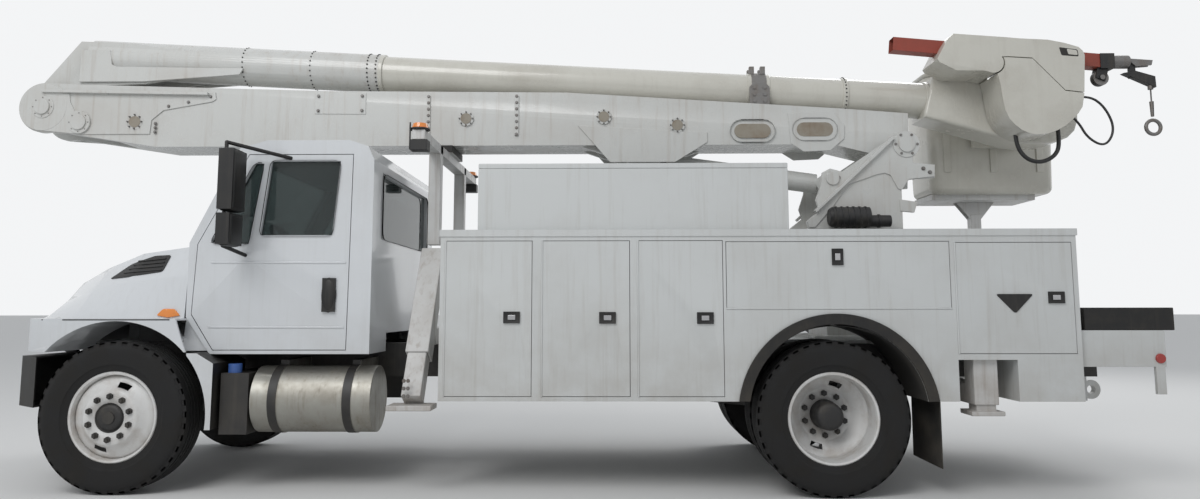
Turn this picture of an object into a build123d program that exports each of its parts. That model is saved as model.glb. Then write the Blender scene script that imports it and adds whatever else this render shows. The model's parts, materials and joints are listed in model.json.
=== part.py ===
# Aerial bucket truck: a two-axle conventional-cab truck with a utility body,
# outriggers and an over-centre articulating boom with a bucket and a jib.
# Millimetres. X runs from the front (-) to the rear (+), the driver's side is -Y,
# Z is up from the ground. The origin is on the ground, midway along the truck.
from build123d import *
from math import cos, radians, sin, sqrt
import os

os.makedirs("parts", exist_ok=True)

# Driving dimensions: overall stations, measured along X from the rear axle
elbow_reach = 6290
jib_reach = 2830
rear_axle_x = (elbow_reach - jib_reach) / 2
wheelbase = 4840
front_axle_x = rear_axle_x - wheelbase

# Wheels and axles
tyre_r = 510
tyre_w = 276
tyre_corner = 36
rim_r = 292
front_track_y = 1012
dual_spacing = 322
dual_outer_y = 1058
hub_z = tyre_r
rim_wall = 9
front_dish = 150
spindle_r = 40
pin_slack = 0.5
hub_r = 92
steer_pivot_y = 860
seat_gap = 0.3

# Ladder frame
rail_y = 430
rail_z0 = 730
rail_h = 250
rail_flange = 80
rail_t = 10
rail_front_x = rear_axle_x - 5400
rail_rear_x = rear_axle_x + 2150
rail_top = rail_z0 + rail_h

# Cab
cab_half_w = 1000
cab_wall = 60
cab_front_x = rear_axle_x - 4440
cab_rear_x = rear_axle_x - 3149
sill_z = 925
fender_half_w = 1160
well_r = 645
well_inner_y = 640
skirt_z0 = 430
cab_floor_z = 1120
cab_under_z = 1060
belt_z = 1700
roof_z = 2400
door_gap = 5
glass_t = 6

# Utility body
body_half_w = 1220
body_front_x = rear_axle_x - 2622
body_rear_x = rear_axle_x + 1632
body_z0 = 627
body_top_z = 1766
body_wall = 26
body_depth = 500
cap_h = 46
arch_x = rear_axle_x + 25
arch_r = 590
arch_flare = 72
deck_t = 30
deck_step = 6

# Boom
boom_half_w = 200
boom_z0 = 2540
boom_z1 = 2985
boom_wall = 14
pivot_x = rear_axle_x + 835
pivot_z = 2512
elbow_x = rear_axle_x - elbow_reach + 205
elbow_z = 2869
elbow_r = 205
tip_x = rear_axle_x + 1885
tip_z = 2948
turret_x = rear_axle_x + 480
turret_plate_y = 300
turret_plate_t = 25
bearing_z = 1800
pedestal_base_half = 420
deck_split_x = turret_x - pedestal_base_half - 5


def block(x0, x1, y0, y1, z0, z1, mode=Mode.ADD):
    """A box between two corners."""
    with Locations(((x0 + x1) / 2, (y0 + y1) / 2, (z0 + z1) / 2)):
        Box(abs(x1 - x0), abs(y1 - y0), abs(z1 - z0), mode=mode)


def side_plate(points, y0, y1, mode=Mode.ADD):
    """A plate with its outline in the XZ plane, between two Y places."""
    with BuildSketch(Plane.XZ.offset(-y1)) as outline:
        with BuildLine():
            Polyline(*points, close=True)
        make_face()
    extrude(outline.sketch, amount=y1 - y0, mode=mode)


def plan_plate(points, z0, z1, mode=Mode.ADD):
    """A plate with its outline in the XY plane, between two heights."""
    with BuildSketch(Plane.XY.offset(z0)) as outline:
        with BuildLine():
            Polyline(*points, close=True)
        make_face()
    extrude(outline.sketch, amount=z1 - z0, mode=mode)


def pin_y(x, z, r, y0, y1, mode=Mode.ADD):
    """A round bar along Y."""
    with BuildSketch(Plane.XZ.offset(-y1)) as outline:
        with Locations((x, z)):
            Circle(r)
    extrude(outline.sketch, amount=y1 - y0, mode=mode)


def post_z(x, y, r, z0, z1, mode=Mode.ADD):
    """A round bar along Z."""
    with Locations((x, y, (z0 + z1) / 2)):
        Cylinder(r, z1 - z0, mode=mode)


def pin_x(y, z, r, x0, x1, mode=Mode.ADD):
    """A round bar along X."""
    with BuildSketch(Plane.YZ.offset(x0)) as outline:
        with Locations((y, z)):
            Circle(r)
    extrude(outline.sketch, amount=x1 - x0, mode=mode)


def bar(p, q, r, mode=Mode.ADD):
    """A round bar between any two points."""
    start = Vector(*p)
    run = Vector(*q) - start
    with BuildSketch(Plane(origin=start, z_dir=run)) as outline:
        Circle(r)
    extrude(outline.sketch, amount=run.length, mode=mode)


def both_sides():
    """Mirrors what the open part holds across the truck's centre plane."""
    mirror(about=Plane.XZ)


def hinge_line(start, end, across, height, r, mode=Mode.ADD):
    """A round bar along Z at X = across, or along X at Z = height, on the body's outer face."""
    if across is None:
        pin_x(-body_half_w, height, r, start, end, mode=mode)
    else:
        post_z(across, -body_half_w, r, start, end, mode=mode)


def save(builder, name):
    builder.part.label = name
    export_step(builder.part, f"parts/{name}.step")


def save_pair(builder, name):
    """Writes the driver's side piece and its mirror image."""
    save(builder, f"{name}_left")
    with BuildPart() as twin:
        mirror(builder.part, about=Plane.XZ)
    save(twin, f"{name}_right")


# Ladder frame: two channel rails with their flanges inward, and cross members
cross_members = [-5300, -3300, -2000, -760, 560, 2090]
with BuildPart() as frame_rails:
    block(rail_front_x, rail_rear_x, -rail_y, -rail_y + rail_flange, rail_z0, rail_top)
    block(rail_front_x, rail_rear_x, -rail_y + rail_t, -rail_y + rail_flange,
          rail_z0 + rail_t, rail_top - rail_t, mode=Mode.SUBTRACT)
    both_sides()
    for station in cross_members:
        at = rear_axle_x + station
        block(at - 35, at + 35, -rail_y + rail_t, rail_y - rail_t, rail_top - 40, rail_top - 30)
        block(at - 35, at - 25, -rail_y + rail_t, rail_y - rail_t, rail_top - 95, rail_top - 40)
save(frame_rails, "frame_rails")

# Axles: a dropped front beam between the king pins, and a banjo rear axle
beam_z0 = hub_z - 95
beam_z1 = hub_z - 5
axle_tube_r = 68
banjo_r = 205
with BuildPart() as front_axle:
    block(front_axle_x - 45, front_axle_x + 45, -steer_pivot_y + 40, steer_pivot_y - 40, beam_z0, beam_z1)
    block(front_axle_x - 45, front_axle_x + 45, -rail_y - 60, rail_y + 60, beam_z0, beam_z1 + 6)
    post_z(front_axle_x, -steer_pivot_y, 48, beam_z0 - 10, beam_z1 + 10)
    both_sides()
    post_z(front_axle_x, -steer_pivot_y, 20, beam_z0 - 20, beam_z1 + 20, mode=Mode.SUBTRACT)
    post_z(front_axle_x, steer_pivot_y, 20, beam_z0 - 20, beam_z1 + 20, mode=Mode.SUBTRACT)

rear_tube_y = 790
with BuildPart() as axles:
    add(front_axle.part)
    pin_y(rear_axle_x, hub_z, axle_tube_r, -rear_tube_y, rear_tube_y)
    pin_y(rear_axle_x, hub_z, spindle_r, -dual_outer_y + 20, dual_outer_y - 20)
    pin_y(rear_axle_x, hub_z, banjo_r, -110, 110)
    pin_x(0, hub_z, 95, rear_axle_x - 330, rear_axle_x)
    for side in (-1, 1):
        pin_y(rear_axle_x, hub_z, 190, side * 600 - 30, side * 600 + 30)
save(axles, "axles")

# Leaf springs with their hangers, two on each axle
spring_w = 76
springs = [
    # axle place, half length, seat height, leaf pack thickness
    (front_axle_x, 555, beam_z1 + 6, 60),
    (rear_axle_x, 700, hub_z + axle_tube_r, 74),
]
spring_y = 470
with BuildPart() as leaf_springs:
    for at, half, seat, pack in springs:
        y0 = -spring_y - spring_w / 2
        y1 = -spring_y + spring_w / 2
        side_plate([(at - half, seat + 60), (at - 90, seat), (at + 90, seat), (at + half, seat + 60),
                    (at + half, seat + 60 + 22), (at + 90, seat + pack), (at - 90, seat + pack),
                    (at - half, seat + 60 + 22)], y0, y1)
        for end in (-half, half - 40):
            block(at + end, at + end + 40, y0, -rail_y, seat + 66, rail_z0 + 110)
        block(at - 60, at + 60, y0 - 10, y1 + 10, seat, seat + pack + 16)
    both_sides()
save(leaf_springs, "leaf_springs")

# Engine and gearbox as plain blocks, and the drive shaft
engine_y = 330
with BuildPart() as engine:
    block(rear_axle_x - 5130, rear_axle_x - 4500, -engine_y, engine_y, 700, 1330)
    block(rear_axle_x - 4500, rear_axle_x - 3500, -190, 190, 660, 1010)
    for at in (-5000, -3620):
        block(rear_axle_x + at, rear_axle_x + at + 70, -rail_y + rail_t, rail_y - rail_t, 800, 850)
    bar((rear_axle_x - 3520, 0, 830), (rear_axle_x - 345, 0, hub_z), 45)
    pin_x(0, hub_z, 70, rear_axle_x - 365, rear_axle_x - 330)
save(engine, "engine")

# Front bumper: a pressed channel on two brackets
bumper_x0 = rear_axle_x - 5617
bumper_depth = 205
bumper_z0 = 568
bumper_z1 = 912
bumper_half_w = 1090
bumper_t = 12
hinge_x = rear_axle_x - 5640
hinge_z = 925
hinge_y = 380
hinge_pin_r = 7
with BuildPart() as front_bumper:
    plan_plate([(bumper_x0, -bumper_half_w + 160), (bumper_x0 + bumper_depth, -bumper_half_w),
                (bumper_x0 + bumper_depth, bumper_half_w), (bumper_x0, bumper_half_w - 160)],
               bumper_z0, bumper_z1)
    plan_plate([(bumper_x0 + bumper_t, -bumper_half_w + 160 + bumper_t),
                (bumper_x0 + bumper_depth + 1, -bumper_half_w + bumper_t),
                (bumper_x0 + bumper_depth + 1, bumper_half_w - bumper_t),
                (bumper_x0 + bumper_t, bumper_half_w - 160 - bumper_t)],
               bumper_z0 + bumper_t, bumper_z1 - bumper_t, mode=Mode.SUBTRACT)
    for side in (-1, 1):
        block(bumper_x0 + bumper_t, rail_front_x, side * 400 - 28, side * 400 + 28, 760, 860)
        # the hood's hinge: two ears and a pin on the bumper's top edge
        for y in (side * hinge_y - 22, side * hinge_y + 22):
            side_plate([(hinge_x - 12, hinge_z - 8), (bumper_x0, bumper_z1 - bumper_t),
                        (bumper_x0 + 60, bumper_z1 - bumper_t), (bumper_x0 + 40, hinge_z + 8),
                        (hinge_x - 12, hinge_z + 12)], y - 6, y + 6)
        pin_y(hinge_x, hinge_z, hinge_pin_r, side * hinge_y - 28, side * hinge_y + 28)
save(front_bumper, "front_bumper")

# Fuel tank and fluid tank on the driver's side, carried by straps and brackets on the rail
tank_x0 = rear_axle_x - 3924
tank_x1 = rear_axle_x - 3106
tank_y = -880
tank_z = 612
tank_r = 228
with BuildPart() as fuel_tank:
    pin_x(tank_y, tank_z, tank_r, tank_x0, tank_x1)
    for at in (tank_x0 + 120, tank_x1 - 190):
        pin_x(tank_y, tank_z, tank_r + 6, at, at + 60)
        block(at, at + 60, tank_y, -rail_y, 740, 880)
        block(at, at + 60, tank_y + 150, -rail_y, 440, 480)
        block(at, at + 60, -rail_y - 60, -rail_y, 440, 880)

with BuildPart() as tanks:
    add(fuel_tank.part)
    block(rear_axle_x - 4137, rear_axle_x - 3945, -1080, -560, 390, 800)
    block(rear_axle_x - 4090, rear_axle_x - 3990, -560, -rail_y, 740, 800)
    post_z(rear_axle_x - 4070, -1010, 45, 800, 860)
    # battery box on the other side
    block(rear_axle_x - 3960, rear_axle_x - 3200, rail_y + 70, 1080, 480, 830)
    block(rear_axle_x - 3900, rear_axle_x - 3260, rail_y, rail_y + 70, 740, 800)
save(tanks, "tanks")

# Cab side outlines, from the front lower corner round the sill, the back and the roof
cab_outline = [(cab_front_x, 1180), (cab_front_x + 178, sill_z), (cab_rear_x, sill_z),
               (cab_rear_x, roof_z - 110), (cab_rear_x - 45, roof_z - 15), (cab_rear_x - 180, roof_z + 30),
               (cab_front_x + 520, roof_z + 30), (cab_front_x + 330, roof_z - 25), (cab_front_x, belt_z)]
cab_inside = [(cab_front_x + 60, cab_floor_z), (cab_rear_x - cab_wall, cab_floor_z),
              (cab_rear_x - cab_wall, roof_z - 110), (cab_rear_x - 90, roof_z - 60),
              (cab_rear_x - 200, roof_z - 30), (cab_front_x + 520, roof_z - 30),
              (cab_front_x + 370, roof_z - 90), (cab_front_x + 60, belt_z)]
door_outline = [(cab_front_x + 40, 1200), (cab_front_x + 200, 955), (cab_rear_x - 166, 955),
                (cab_rear_x - 152, 2325), (cab_front_x + 400, 2325), (cab_front_x + 62, belt_z - 10)]
door_window = [(cab_front_x + 498, 1752), (cab_rear_x - 284, 1752), (cab_rear_x - 238, 2278),
               (cab_front_x + 560, 2278)]
vent_window = [(cab_front_x + 150, 1700), (cab_front_x + 420, 1690), (cab_front_x + 508, 2262),
               (cab_front_x + 440, 2262)]
door_x = cab_front_x + 40

with BuildPart() as cab_body:
    side_plate(cab_outline, -cab_half_w, cab_half_w)
    side_plate(cab_inside, -cab_half_w + cab_wall, cab_half_w - cab_wall, mode=Mode.SUBTRACT)

with BuildPart() as cab_shell:
    add(cab_body.part)
    # under the floor: hollow to the sills, and open over the frame
    block(cab_front_x + cab_wall, cab_rear_x - cab_wall, -cab_half_w + cab_wall, cab_half_w - cab_wall,
          sill_z - 1, cab_under_z, mode=Mode.SUBTRACT)
    block(cab_front_x - 1, cab_rear_x + 1, -rail_y - 130, rail_y + 130, sill_z - 1, cab_under_z,
          mode=Mode.SUBTRACT)
    for y0, y1 in ((-cab_half_w - 1, -cab_half_w + cab_wall), (cab_half_w - cab_wall, cab_half_w + 1)):
        with BuildSketch(Plane.XZ.offset(-y1)):
            with BuildLine():
                Polyline(*door_outline, close=True)
            make_face()
            offset(amount=door_gap, kind=Kind.INTERSECTION)
        extrude(amount=y1 - y0, mode=Mode.SUBTRACT)
    # fender skirts behind the front wheels, fixed to the cab's lower corners
    for y0, y1 in ((-fender_half_w, -well_inner_y), (well_inner_y, fender_half_w)):
        side_plate([(rear_axle_x - 4345, 938), (rear_axle_x - 4275, 938), (rear_axle_x - 4159, 870),
                    (rear_axle_x - 4160, skirt_z0), (rear_axle_x - 4262, skirt_z0)], y0, y1)
        pin_y(front_axle_x, hub_z, well_r, y0 - 1, y1 + 1, mode=Mode.SUBTRACT)
    # mounts on the rails
    for at in (cab_front_x + 140, cab_rear_x - 220):
        for side in (-1, 1):
            block(at, at + 90, side * 390 - 40, side * 390 + 40, rail_top, cab_under_z)
    # windscreen, in the raked plane between the belt and the roof
    side_plate([(cab_front_x - 90, belt_z + 60), (cab_front_x + 250, roof_z - 80),
                (cab_front_x + 600, roof_z - 80), (cab_front_x + 600, belt_z + 60)],
               -cab_half_w + 130, cab_half_w - 130, mode=Mode.SUBTRACT)
    # rear window
    block(cab_rear_x - 100, cab_rear_x + 1, -760, 760, 1740, 2230, mode=Mode.SUBTRACT)
save(cab_shell, "cab_shell")

# Fixed glass: the windscreen in its rake and the rear window
screen_slope = 330 / (roof_z - 25 - belt_z)
with BuildPart() as cab_glass:
    x_low = cab_front_x + 60 * screen_slope
    x_high = cab_front_x + (roof_z - 80 - belt_z) * screen_slope
    side_plate([(x_low + 22, belt_z + 60), (x_high + 22, roof_z - 80),
                (x_high + 22 + glass_t, roof_z - 80), (x_low + 22 + glass_t, belt_z + 60)],
               -cab_half_w + 130, cab_half_w - 130)
    block(cab_rear_x - 34, cab_rear_x - 34 + glass_t, -760, 760, 1740, 2230)
save(cab_glass, "cab_glass")

# Doors: the wall inside the outline, with its windows, handle and mirrors
mirror_y = -1250
with BuildPart() as cab_door:
    side_plate(door_outline, -cab_half_w, -cab_half_w + cab_wall)
    side_plate(door_window, -cab_half_w - 1, -cab_half_w + cab_wall + 1, mode=Mode.SUBTRACT)
    side_plate(vent_window, -cab_half_w - 1, -cab_half_w + cab_wall + 1, mode=Mode.SUBTRACT)
    handle_x = cab_rear_x - 290
    block(handle_x - 45, handle_x + 45, -cab_half_w - 22, -cab_half_w, 1215, 1450)
    arm_low = (cab_front_x + 400, -cab_half_w + 6, 1610)
    arm_knee = (cab_front_x + 350, mirror_y, 1660)
    arm_top = (cab_front_x + 345, mirror_y, 2370)
    arm_back = (cab_front_x + 700, -cab_half_w + 6, 2300)
    for start, end in ((arm_low, arm_knee), (arm_knee, arm_top), (arm_top, arm_back)):
        bar(start, end, 13)
    for joint in (arm_knee, arm_top):
        with Locations(joint):
            Sphere(13)
    block(cab_front_x + 340, cab_front_x + 440, mirror_y - 100, mirror_y + 110, 1900, 2310)
    block(cab_front_x + 340, cab_front_x + 430, mirror_y - 100, mirror_y + 110, 1665, 1875)
save_pair(cab_door, "cab_door")

with BuildPart() as door_glass:
    pane_y = -cab_half_w + 24
    side_plate(door_window, pane_y, pane_y + glass_t)
    side_plate(vent_window, pane_y, pane_y + glass_t)
save_pair(door_glass, "door_glass")

# Inside the cab: seats, and the dashboard with the steering wheel
with BuildPart() as seats:
    for y0, y1 in ((-800, -260), (-140, 800)):
        block(cab_rear_x - 720, cab_rear_x - 170, y0, y1, cab_floor_z + 60, cab_floor_z + 430)
        side_plate([(cab_rear_x - 250, cab_floor_z + 430), (cab_rear_x - 170, cab_floor_z + 430),
                    (cab_rear_x - 80, cab_floor_z + 1000), (cab_rear_x - 190, cab_floor_z + 1000)], y0, y1)
        block(cab_rear_x - 640, cab_rear_x - 260, y0 + 100, y1 - 100, cab_floor_z, cab_floor_z + 60)

wheel_centre = (cab_front_x + 560, -530, 1700)
with BuildPart() as cab_interior:
    add(seats.part)
    side_plate([(cab_front_x + 60, 1350), (cab_front_x + 330, 1400), (cab_front_x + 380, 1600),
                (cab_front_x + 330, belt_z - 20), (cab_front_x + 60, belt_z - 10)],
               -cab_half_w + cab_wall + 20, cab_half_w - cab_wall - 20)
    column = Vector(-0.72, 0, -0.69)
    foot = Vector(*wheel_centre) + column * 330
    bar(tuple(foot), wheel_centre, 32)
    with Locations(Plane(origin=wheel_centre, z_dir=column)):
        Torus(215, 16)
        Box(420, 34, 18)
        Box(34, 420, 18)
save(cab_interior, "cab_interior")

# Hood: an upper part lofted back to the cowl, and fenders with wheel wells
hood_wall = 14
hood_rear_x = cab_front_x - 12
hood_low_z = 945
fender_top_z = 1172
# station along X, low half width, shoulder half width, shoulder Z, top half width, top Z, crown Z
hood_sections = [
    (hood_rear_x, 1000, 970, 1480, 840, 1690, 1740),
    (rear_axle_x - 4900, 1030, 900, 1430, 740, 1640, 1690),
    (rear_axle_x - 5220, 1030, 800, 1380, 620, 1540, 1590),
    (rear_axle_x - 5470, 960, 690, 1300, 520, 1430, 1470),
    (rear_axle_x - 5620, 860, 560, 1170, 470, 1280, 1300),
]


def hood_upper(inset, extra):
    """The loft over the engine, with its walls moved in and its ends and floor moved out."""
    floor = fender_top_z - 120 - extra
    with BuildPart(mode=Mode.PRIVATE) as upper:
        for i, (x, low_w, mid_w, mid_z, top_w, top_z, crown_z) in enumerate(hood_sections):
            shift = (extra if i == 0 else 0) + (inset if i == len(hood_sections) - 1 else 0)
            with BuildSketch(Plane.YZ.offset(x + shift)):
                with BuildLine():
                    Polyline((-low_w + inset, floor), (-low_w + inset, fender_top_z - 20),
                             (-mid_w + inset, mid_z - inset / 2), (-top_w + inset / 2, top_z - inset),
                             (0, crown_z - inset), (top_w - inset / 2, top_z - inset),
                             (mid_w - inset, mid_z - inset / 2), (low_w - inset, fender_top_z - 20),
                             (low_w - inset, floor), close=True)
                make_face()
        loft(ruled=True)
    return upper.part


def hood_lower(inset, extra):
    """The nose and fenders seen in plan, from below the headlamps up to the fender tops."""
    nose_x = rear_axle_x - 5660 + inset
    corner_x = rear_axle_x - 5500 + inset
    side_x = rear_axle_x - 5280 + inset / 2
    rear_low = rear_axle_x - 4160 + extra
    side = fender_half_w - inset
    with BuildPart(mode=Mode.PRIVATE) as lower:
        plan_plate([(nose_x, -500), (corner_x, -1050 + inset), (side_x, -side), (rear_low, -side),
                    (rear_low, side), (side_x, side), (corner_x, 1050 - inset), (nose_x, 500)],
                   hood_low_z - extra, fender_top_z - inset)
    return lower.part


# grille and headlamp openings in the nose: Y from, Y to, Z from, Z to
nose_openings = [
    (-430, 430, 985, 1150),
    (-1000, -620, 965, 1125),
    (620, 1000, 965, 1125),
]
with BuildPart() as hood:
    add(hood_upper(0, 0))
    add(hood_lower(0, 0))
    add(hood_upper(hood_wall, 150), mode=Mode.SUBTRACT)
    add(hood_lower(hood_wall, 60), mode=Mode.SUBTRACT)
    # the fender ends ahead of the door's swing
    for y0, y1 in ((-fender_half_w - 1, -700), (700, fender_half_w + 1)):
        side_plate([(rear_axle_x - 4432, fender_top_z + 200), (rear_axle_x - 4432, fender_top_z),
                    (rear_axle_x - 4395, 1060), (rear_axle_x - 4350, hood_low_z - 1),
                    (rear_axle_x - 3900, hood_low_z - 1), (rear_axle_x - 3900, fender_top_z + 200)],
                   y0, y1, mode=Mode.SUBTRACT)
    # wheel well liners
    for y0, y1 in ((-fender_half_w + 4, -640), (640, fender_half_w - 4)):
        with BuildPart(mode=Mode.PRIVATE) as liner:
            pin_y(front_axle_x, hub_z, well_r + 14, y0, y1)
            block(front_axle_x - 800, rear_axle_x - 4440, -1300, 1300, hood_low_z, fender_top_z - 4,
                  mode=Mode.INTERSECT)
        add(liner.part)
        pin_y(front_axle_x, hub_z, well_r, y0 - 20, y1 + 200 if y1 < 0 else y1 + 20, mode=Mode.SUBTRACT)
    block(rear_axle_x - 4600, rear_axle_x - 4100, -rail_y - 80, rail_y + 80, 400, fender_top_z - 30,
          mode=Mode.SUBTRACT)
    # nothing of the hood reaches into the cab
    block(hood_rear_x, rear_axle_x - 4000, -cab_half_w - 6, cab_half_w + 6, sill_z - 10, 2000,
          mode=Mode.SUBTRACT)
    for y0, y1, z0, z1 in nose_openings:
        block(rear_axle_x - 5700, rear_axle_x - 5450, y0, y1, z0, z1, mode=Mode.SUBTRACT)
    # hinge knuckles under the nose
    for side in (-1, 1):
        y = side * hinge_y
        block(hinge_x - 19, hinge_x + 6, y - 12, y + 12, hinge_z, hood_low_z + 25)
        pin_y(hinge_x, hinge_z, 2 * hinge_pin_r, y - 12, y + 12)
        pin_y(hinge_x, hinge_z, hinge_pin_r + pin_slack, y - 13, y + 13, mode=Mode.SUBTRACT)
save(hood, "hood")

# Grille and headlamps: the nose's own skin inside the openings
with BuildPart() as grille_and_lamps:
    for y0, y1, z0, z1 in nose_openings:
        with BuildPart(mode=Mode.PRIVATE) as insert:
            add(hood_lower(0, 0))
            add(hood_lower(2 * hood_wall, 60), mode=Mode.SUBTRACT)
            block(rear_axle_x - 5700, rear_axle_x - 5450, y0, y1, z0, z1, mode=Mode.INTERSECT)
        add(insert.part)
save(grille_and_lamps, "grille_and_lamps")

# Wheels: the front ones dished outward, the rear ones in pairs dished inward
def tyre_ring(y):
    """One tyre, its mid plane at a Y place."""
    half = tyre_w / 2
    with BuildSketch(Plane.YZ) as section:
        with BuildLine():
            Polyline((y - half + 22, rim_r), (y - half, rim_r + 60), (y - half, tyre_r - 90),
                     (y - half + 16, tyre_r - tyre_corner), (y - half + tyre_corner, tyre_r),
                     (y + half - tyre_corner, tyre_r), (y + half - 16, tyre_r - tyre_corner),
                     (y + half, tyre_r - 90), (y + half, rim_r + 60), (y + half - 22, rim_r), close=True)
        make_face()
    revolve(section.sketch, axis=Axis.Y)


def rim_ring(y, dish):
    """One rim: the barrel at y, and the disc coned out to its mounting face."""
    half = tyre_w / 2 - 24
    way = 1 if dish > 0 else -1
    barrel_r = rim_r - rim_wall
    with BuildSketch(Plane.YZ) as section:
        with BuildLine():
            Polyline((y - half, barrel_r), (y - half, rim_r - 0.3), (y + half, rim_r - 0.3),
                     (y + half, barrel_r), close=True)
        make_face()
        with BuildLine():
            Polyline((y + way * 84, barrel_r + 1), (y + dish, 178), (y + dish, hub_r),
                     (y + dish - way * 12, hub_r), (y + dish - way * 12, 172), (y + way * 64, barrel_r + 1),
                     close=True)
        make_face()
    revolve(section.sketch, axis=Axis.Y)


def placed(builder, x):
    """The wheel, modelled round the Y axis, moved to its hub."""
    return Pos(x, 0, hub_z) * builder.part


front_face_y = -(front_track_y + front_dish)
with BuildPart() as front_tyre_at_hub:
    tyre_ring(-front_track_y)
with BuildPart() as front_tyre:
    add(placed(front_tyre_at_hub, front_axle_x))
save_pair(front_tyre, "front_tyre")

hand_holes = 2
hand_hole_r = 222
with BuildPart() as front_rim_at_hub:
    rim_ring(-front_track_y, -front_dish)
    pin_y(0, 0, 110, front_face_y - 45, front_face_y + 8)
    pin_y(0, 0, spindle_r + pin_slack, front_face_y - 20, front_face_y + 60, mode=Mode.SUBTRACT)
    for i in range(hand_holes):
        turn = radians(90 + 180 * i)
        pin_y(hand_hole_r * cos(turn), hand_hole_r * sin(turn), 30, front_face_y, front_face_y + 90,
              mode=Mode.SUBTRACT)
with BuildPart() as front_rim:
    add(placed(front_rim_at_hub, front_axle_x))
save_pair(front_rim, "front_rim")

rear_outer_y = -dual_outer_y
rear_inner_y = -dual_outer_y + dual_spacing
rear_face_y = (rear_outer_y + rear_inner_y) / 2
with BuildPart() as rear_tyres_at_hub:
    tyre_ring(rear_outer_y)
    tyre_ring(rear_inner_y)
with BuildPart() as rear_tyres:
    add(placed(rear_tyres_at_hub, rear_axle_x))
save_pair(rear_tyres, "rear_tyres")

with BuildPart() as rear_rims_at_hub:
    rim_ring(rear_outer_y, dual_spacing / 2)
    rim_ring(rear_inner_y, -dual_spacing / 2)
    pin_y(0, 0, 120, rear_face_y - 190, rear_face_y + 12)
    pin_y(0, 0, spindle_r + pin_slack, rear_face_y - 145, rear_face_y + 60, mode=Mode.SUBTRACT)
    for i in range(hand_holes):
        turn = radians(90 + 180 * i)
        pin_y(hand_hole_r * cos(turn), hand_hole_r * sin(turn), 30, rear_face_y - 90, rear_face_y + 90,
              mode=Mode.SUBTRACT)
with BuildPart() as rear_rims:
    add(placed(rear_rims_at_hub, rear_axle_x))
save_pair(rear_rims, "rear_rims")

# Steering knuckles: a king pin through the axle end, a yoke round it and the wheel spindle
with BuildPart() as knuckle:
    kp_y = -steer_pivot_y
    post_z(front_axle_x, kp_y, 19.5, beam_z0 - 60, beam_z1 + 120)
    block(front_axle_x - 50, front_axle_x + 50, kp_y - 95, kp_y + 48, beam_z0 - 60, beam_z0 - 11)
    block(front_axle_x - 50, front_axle_x + 50, kp_y - 95, kp_y + 48, beam_z1 + 11, beam_z1 + 120)
    block(front_axle_x - 60, front_axle_x + 60, kp_y - 95, kp_y - 60, beam_z0 - 60, beam_z1 + 120)
    pin_y(front_axle_x, hub_z, 150, kp_y - 110, kp_y - 94)
    pin_y(front_axle_x, hub_z, spindle_r, front_face_y - 18, kp_y - 90)
save_pair(knuckle, "knuckle")

# Utility body: a pack of compartments on each side, a deck between them and a tail shelf
pack_inner_y = body_half_w - body_depth
sleeve = 160
rear_sleeve_x = rear_axle_x + 1010
rear_leg_y = -(body_half_w - 125)
rear_sleeve_top = 1250
arch_z = 540
# compartment doors: front X and rear X from the rear axle, lower and upper Z
side_doors = [
    (-2590, -2001, 656, 1692),
    (-1939, -1345, 656, 1692),
    (-1295, -722, 656, 1692),
    (-703, 790, 1231, 1684),
    (821, 1600, 936, 1676),
]
leaf_gap = 4
knuckle_len = 70
door_pin_r = 6


def hinge_of(leaf):
    """Where a compartment door's hinge starts and ends, and its place across or its height."""
    x0, x1, z0, z1 = leaf
    if x1 - x0 > 1.5 * (z1 - z0):
        return rear_axle_x + x0, rear_axle_x + x1, None, z0 + leaf_gap
    return z0, z1, rear_axle_x + x0 + leaf_gap, None


cut_x0 = rear_axle_x + 817
cut_x1 = rear_axle_x + 1205
cut_z1 = 898
shelf_x1 = rear_axle_x + 2200
shelf_z0 = 850
shelf_z1 = 1090
skin = 26
with BuildPart() as side_pack:
    block(body_front_x, body_rear_x, -body_half_w, -pack_inner_y, body_z0, body_top_z - cap_h)
    block(body_front_x - 8, body_rear_x + 8, -body_half_w - 8, -pack_inner_y, body_top_z - cap_h, body_top_z)
    for x0, x1, z0, z1 in side_doors:
        block(rear_axle_x + x0, rear_axle_x + x1, -body_half_w - 1, -pack_inner_y - skin, z0, z1,
              mode=Mode.SUBTRACT)
    # the closed spaces round the wheel and behind the outrigger are open below
    block(rear_axle_x - 677, rear_axle_x + 795, -body_half_w + skin, -pack_inner_y - skin,
          body_z0 - 1, 1205, mode=Mode.SUBTRACT)
    block(cut_x1 + skin, body_rear_x - skin, -body_half_w + skin, -pack_inner_y - skin,
          body_z0 - 1, 910, mode=Mode.SUBTRACT)
    with BuildPart(mode=Mode.PRIVATE) as arch_liner:
        pin_y(arch_x, arch_z, arch_r + 12, -body_half_w, -pack_inner_y)
        block(arch_x - 650, arch_x + 650, -body_half_w, -pack_inner_y, body_z0, 1300, mode=Mode.INTERSECT)
    add(arch_liner.part)
    pin_y(arch_x, arch_z, arch_r, -body_half_w - 1, -pack_inner_y + 1, mode=Mode.SUBTRACT)
    block(cut_x0, cut_x1, -body_half_w - 1, -pack_inner_y + 1, body_z0 - 1, cut_z1, mode=Mode.SUBTRACT)
    # the body's own hinge knuckles, at both ends of each door
    for leaf in side_doors:
        start, end, across, height = hinge_of(leaf)
        hinge_line(start, end, across, height, door_pin_r + pin_slack, mode=Mode.SUBTRACT)
        hinge_line(start, start + knuckle_len - seat_gap, across, height, door_pin_r)
        hinge_line(end - knuckle_len + seat_gap, end, across, height, door_pin_r)
    block(rear_sleeve_x - sleeve / 2 - seat_gap, rear_sleeve_x + sleeve / 2 + seat_gap,
          rear_leg_y - sleeve / 2 - seat_gap, rear_leg_y + sleeve / 2 + seat_gap, cut_z1 - 1, rear_sleeve_top,
          mode=Mode.SUBTRACT)
save_pair(side_pack, "side_pack")

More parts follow.
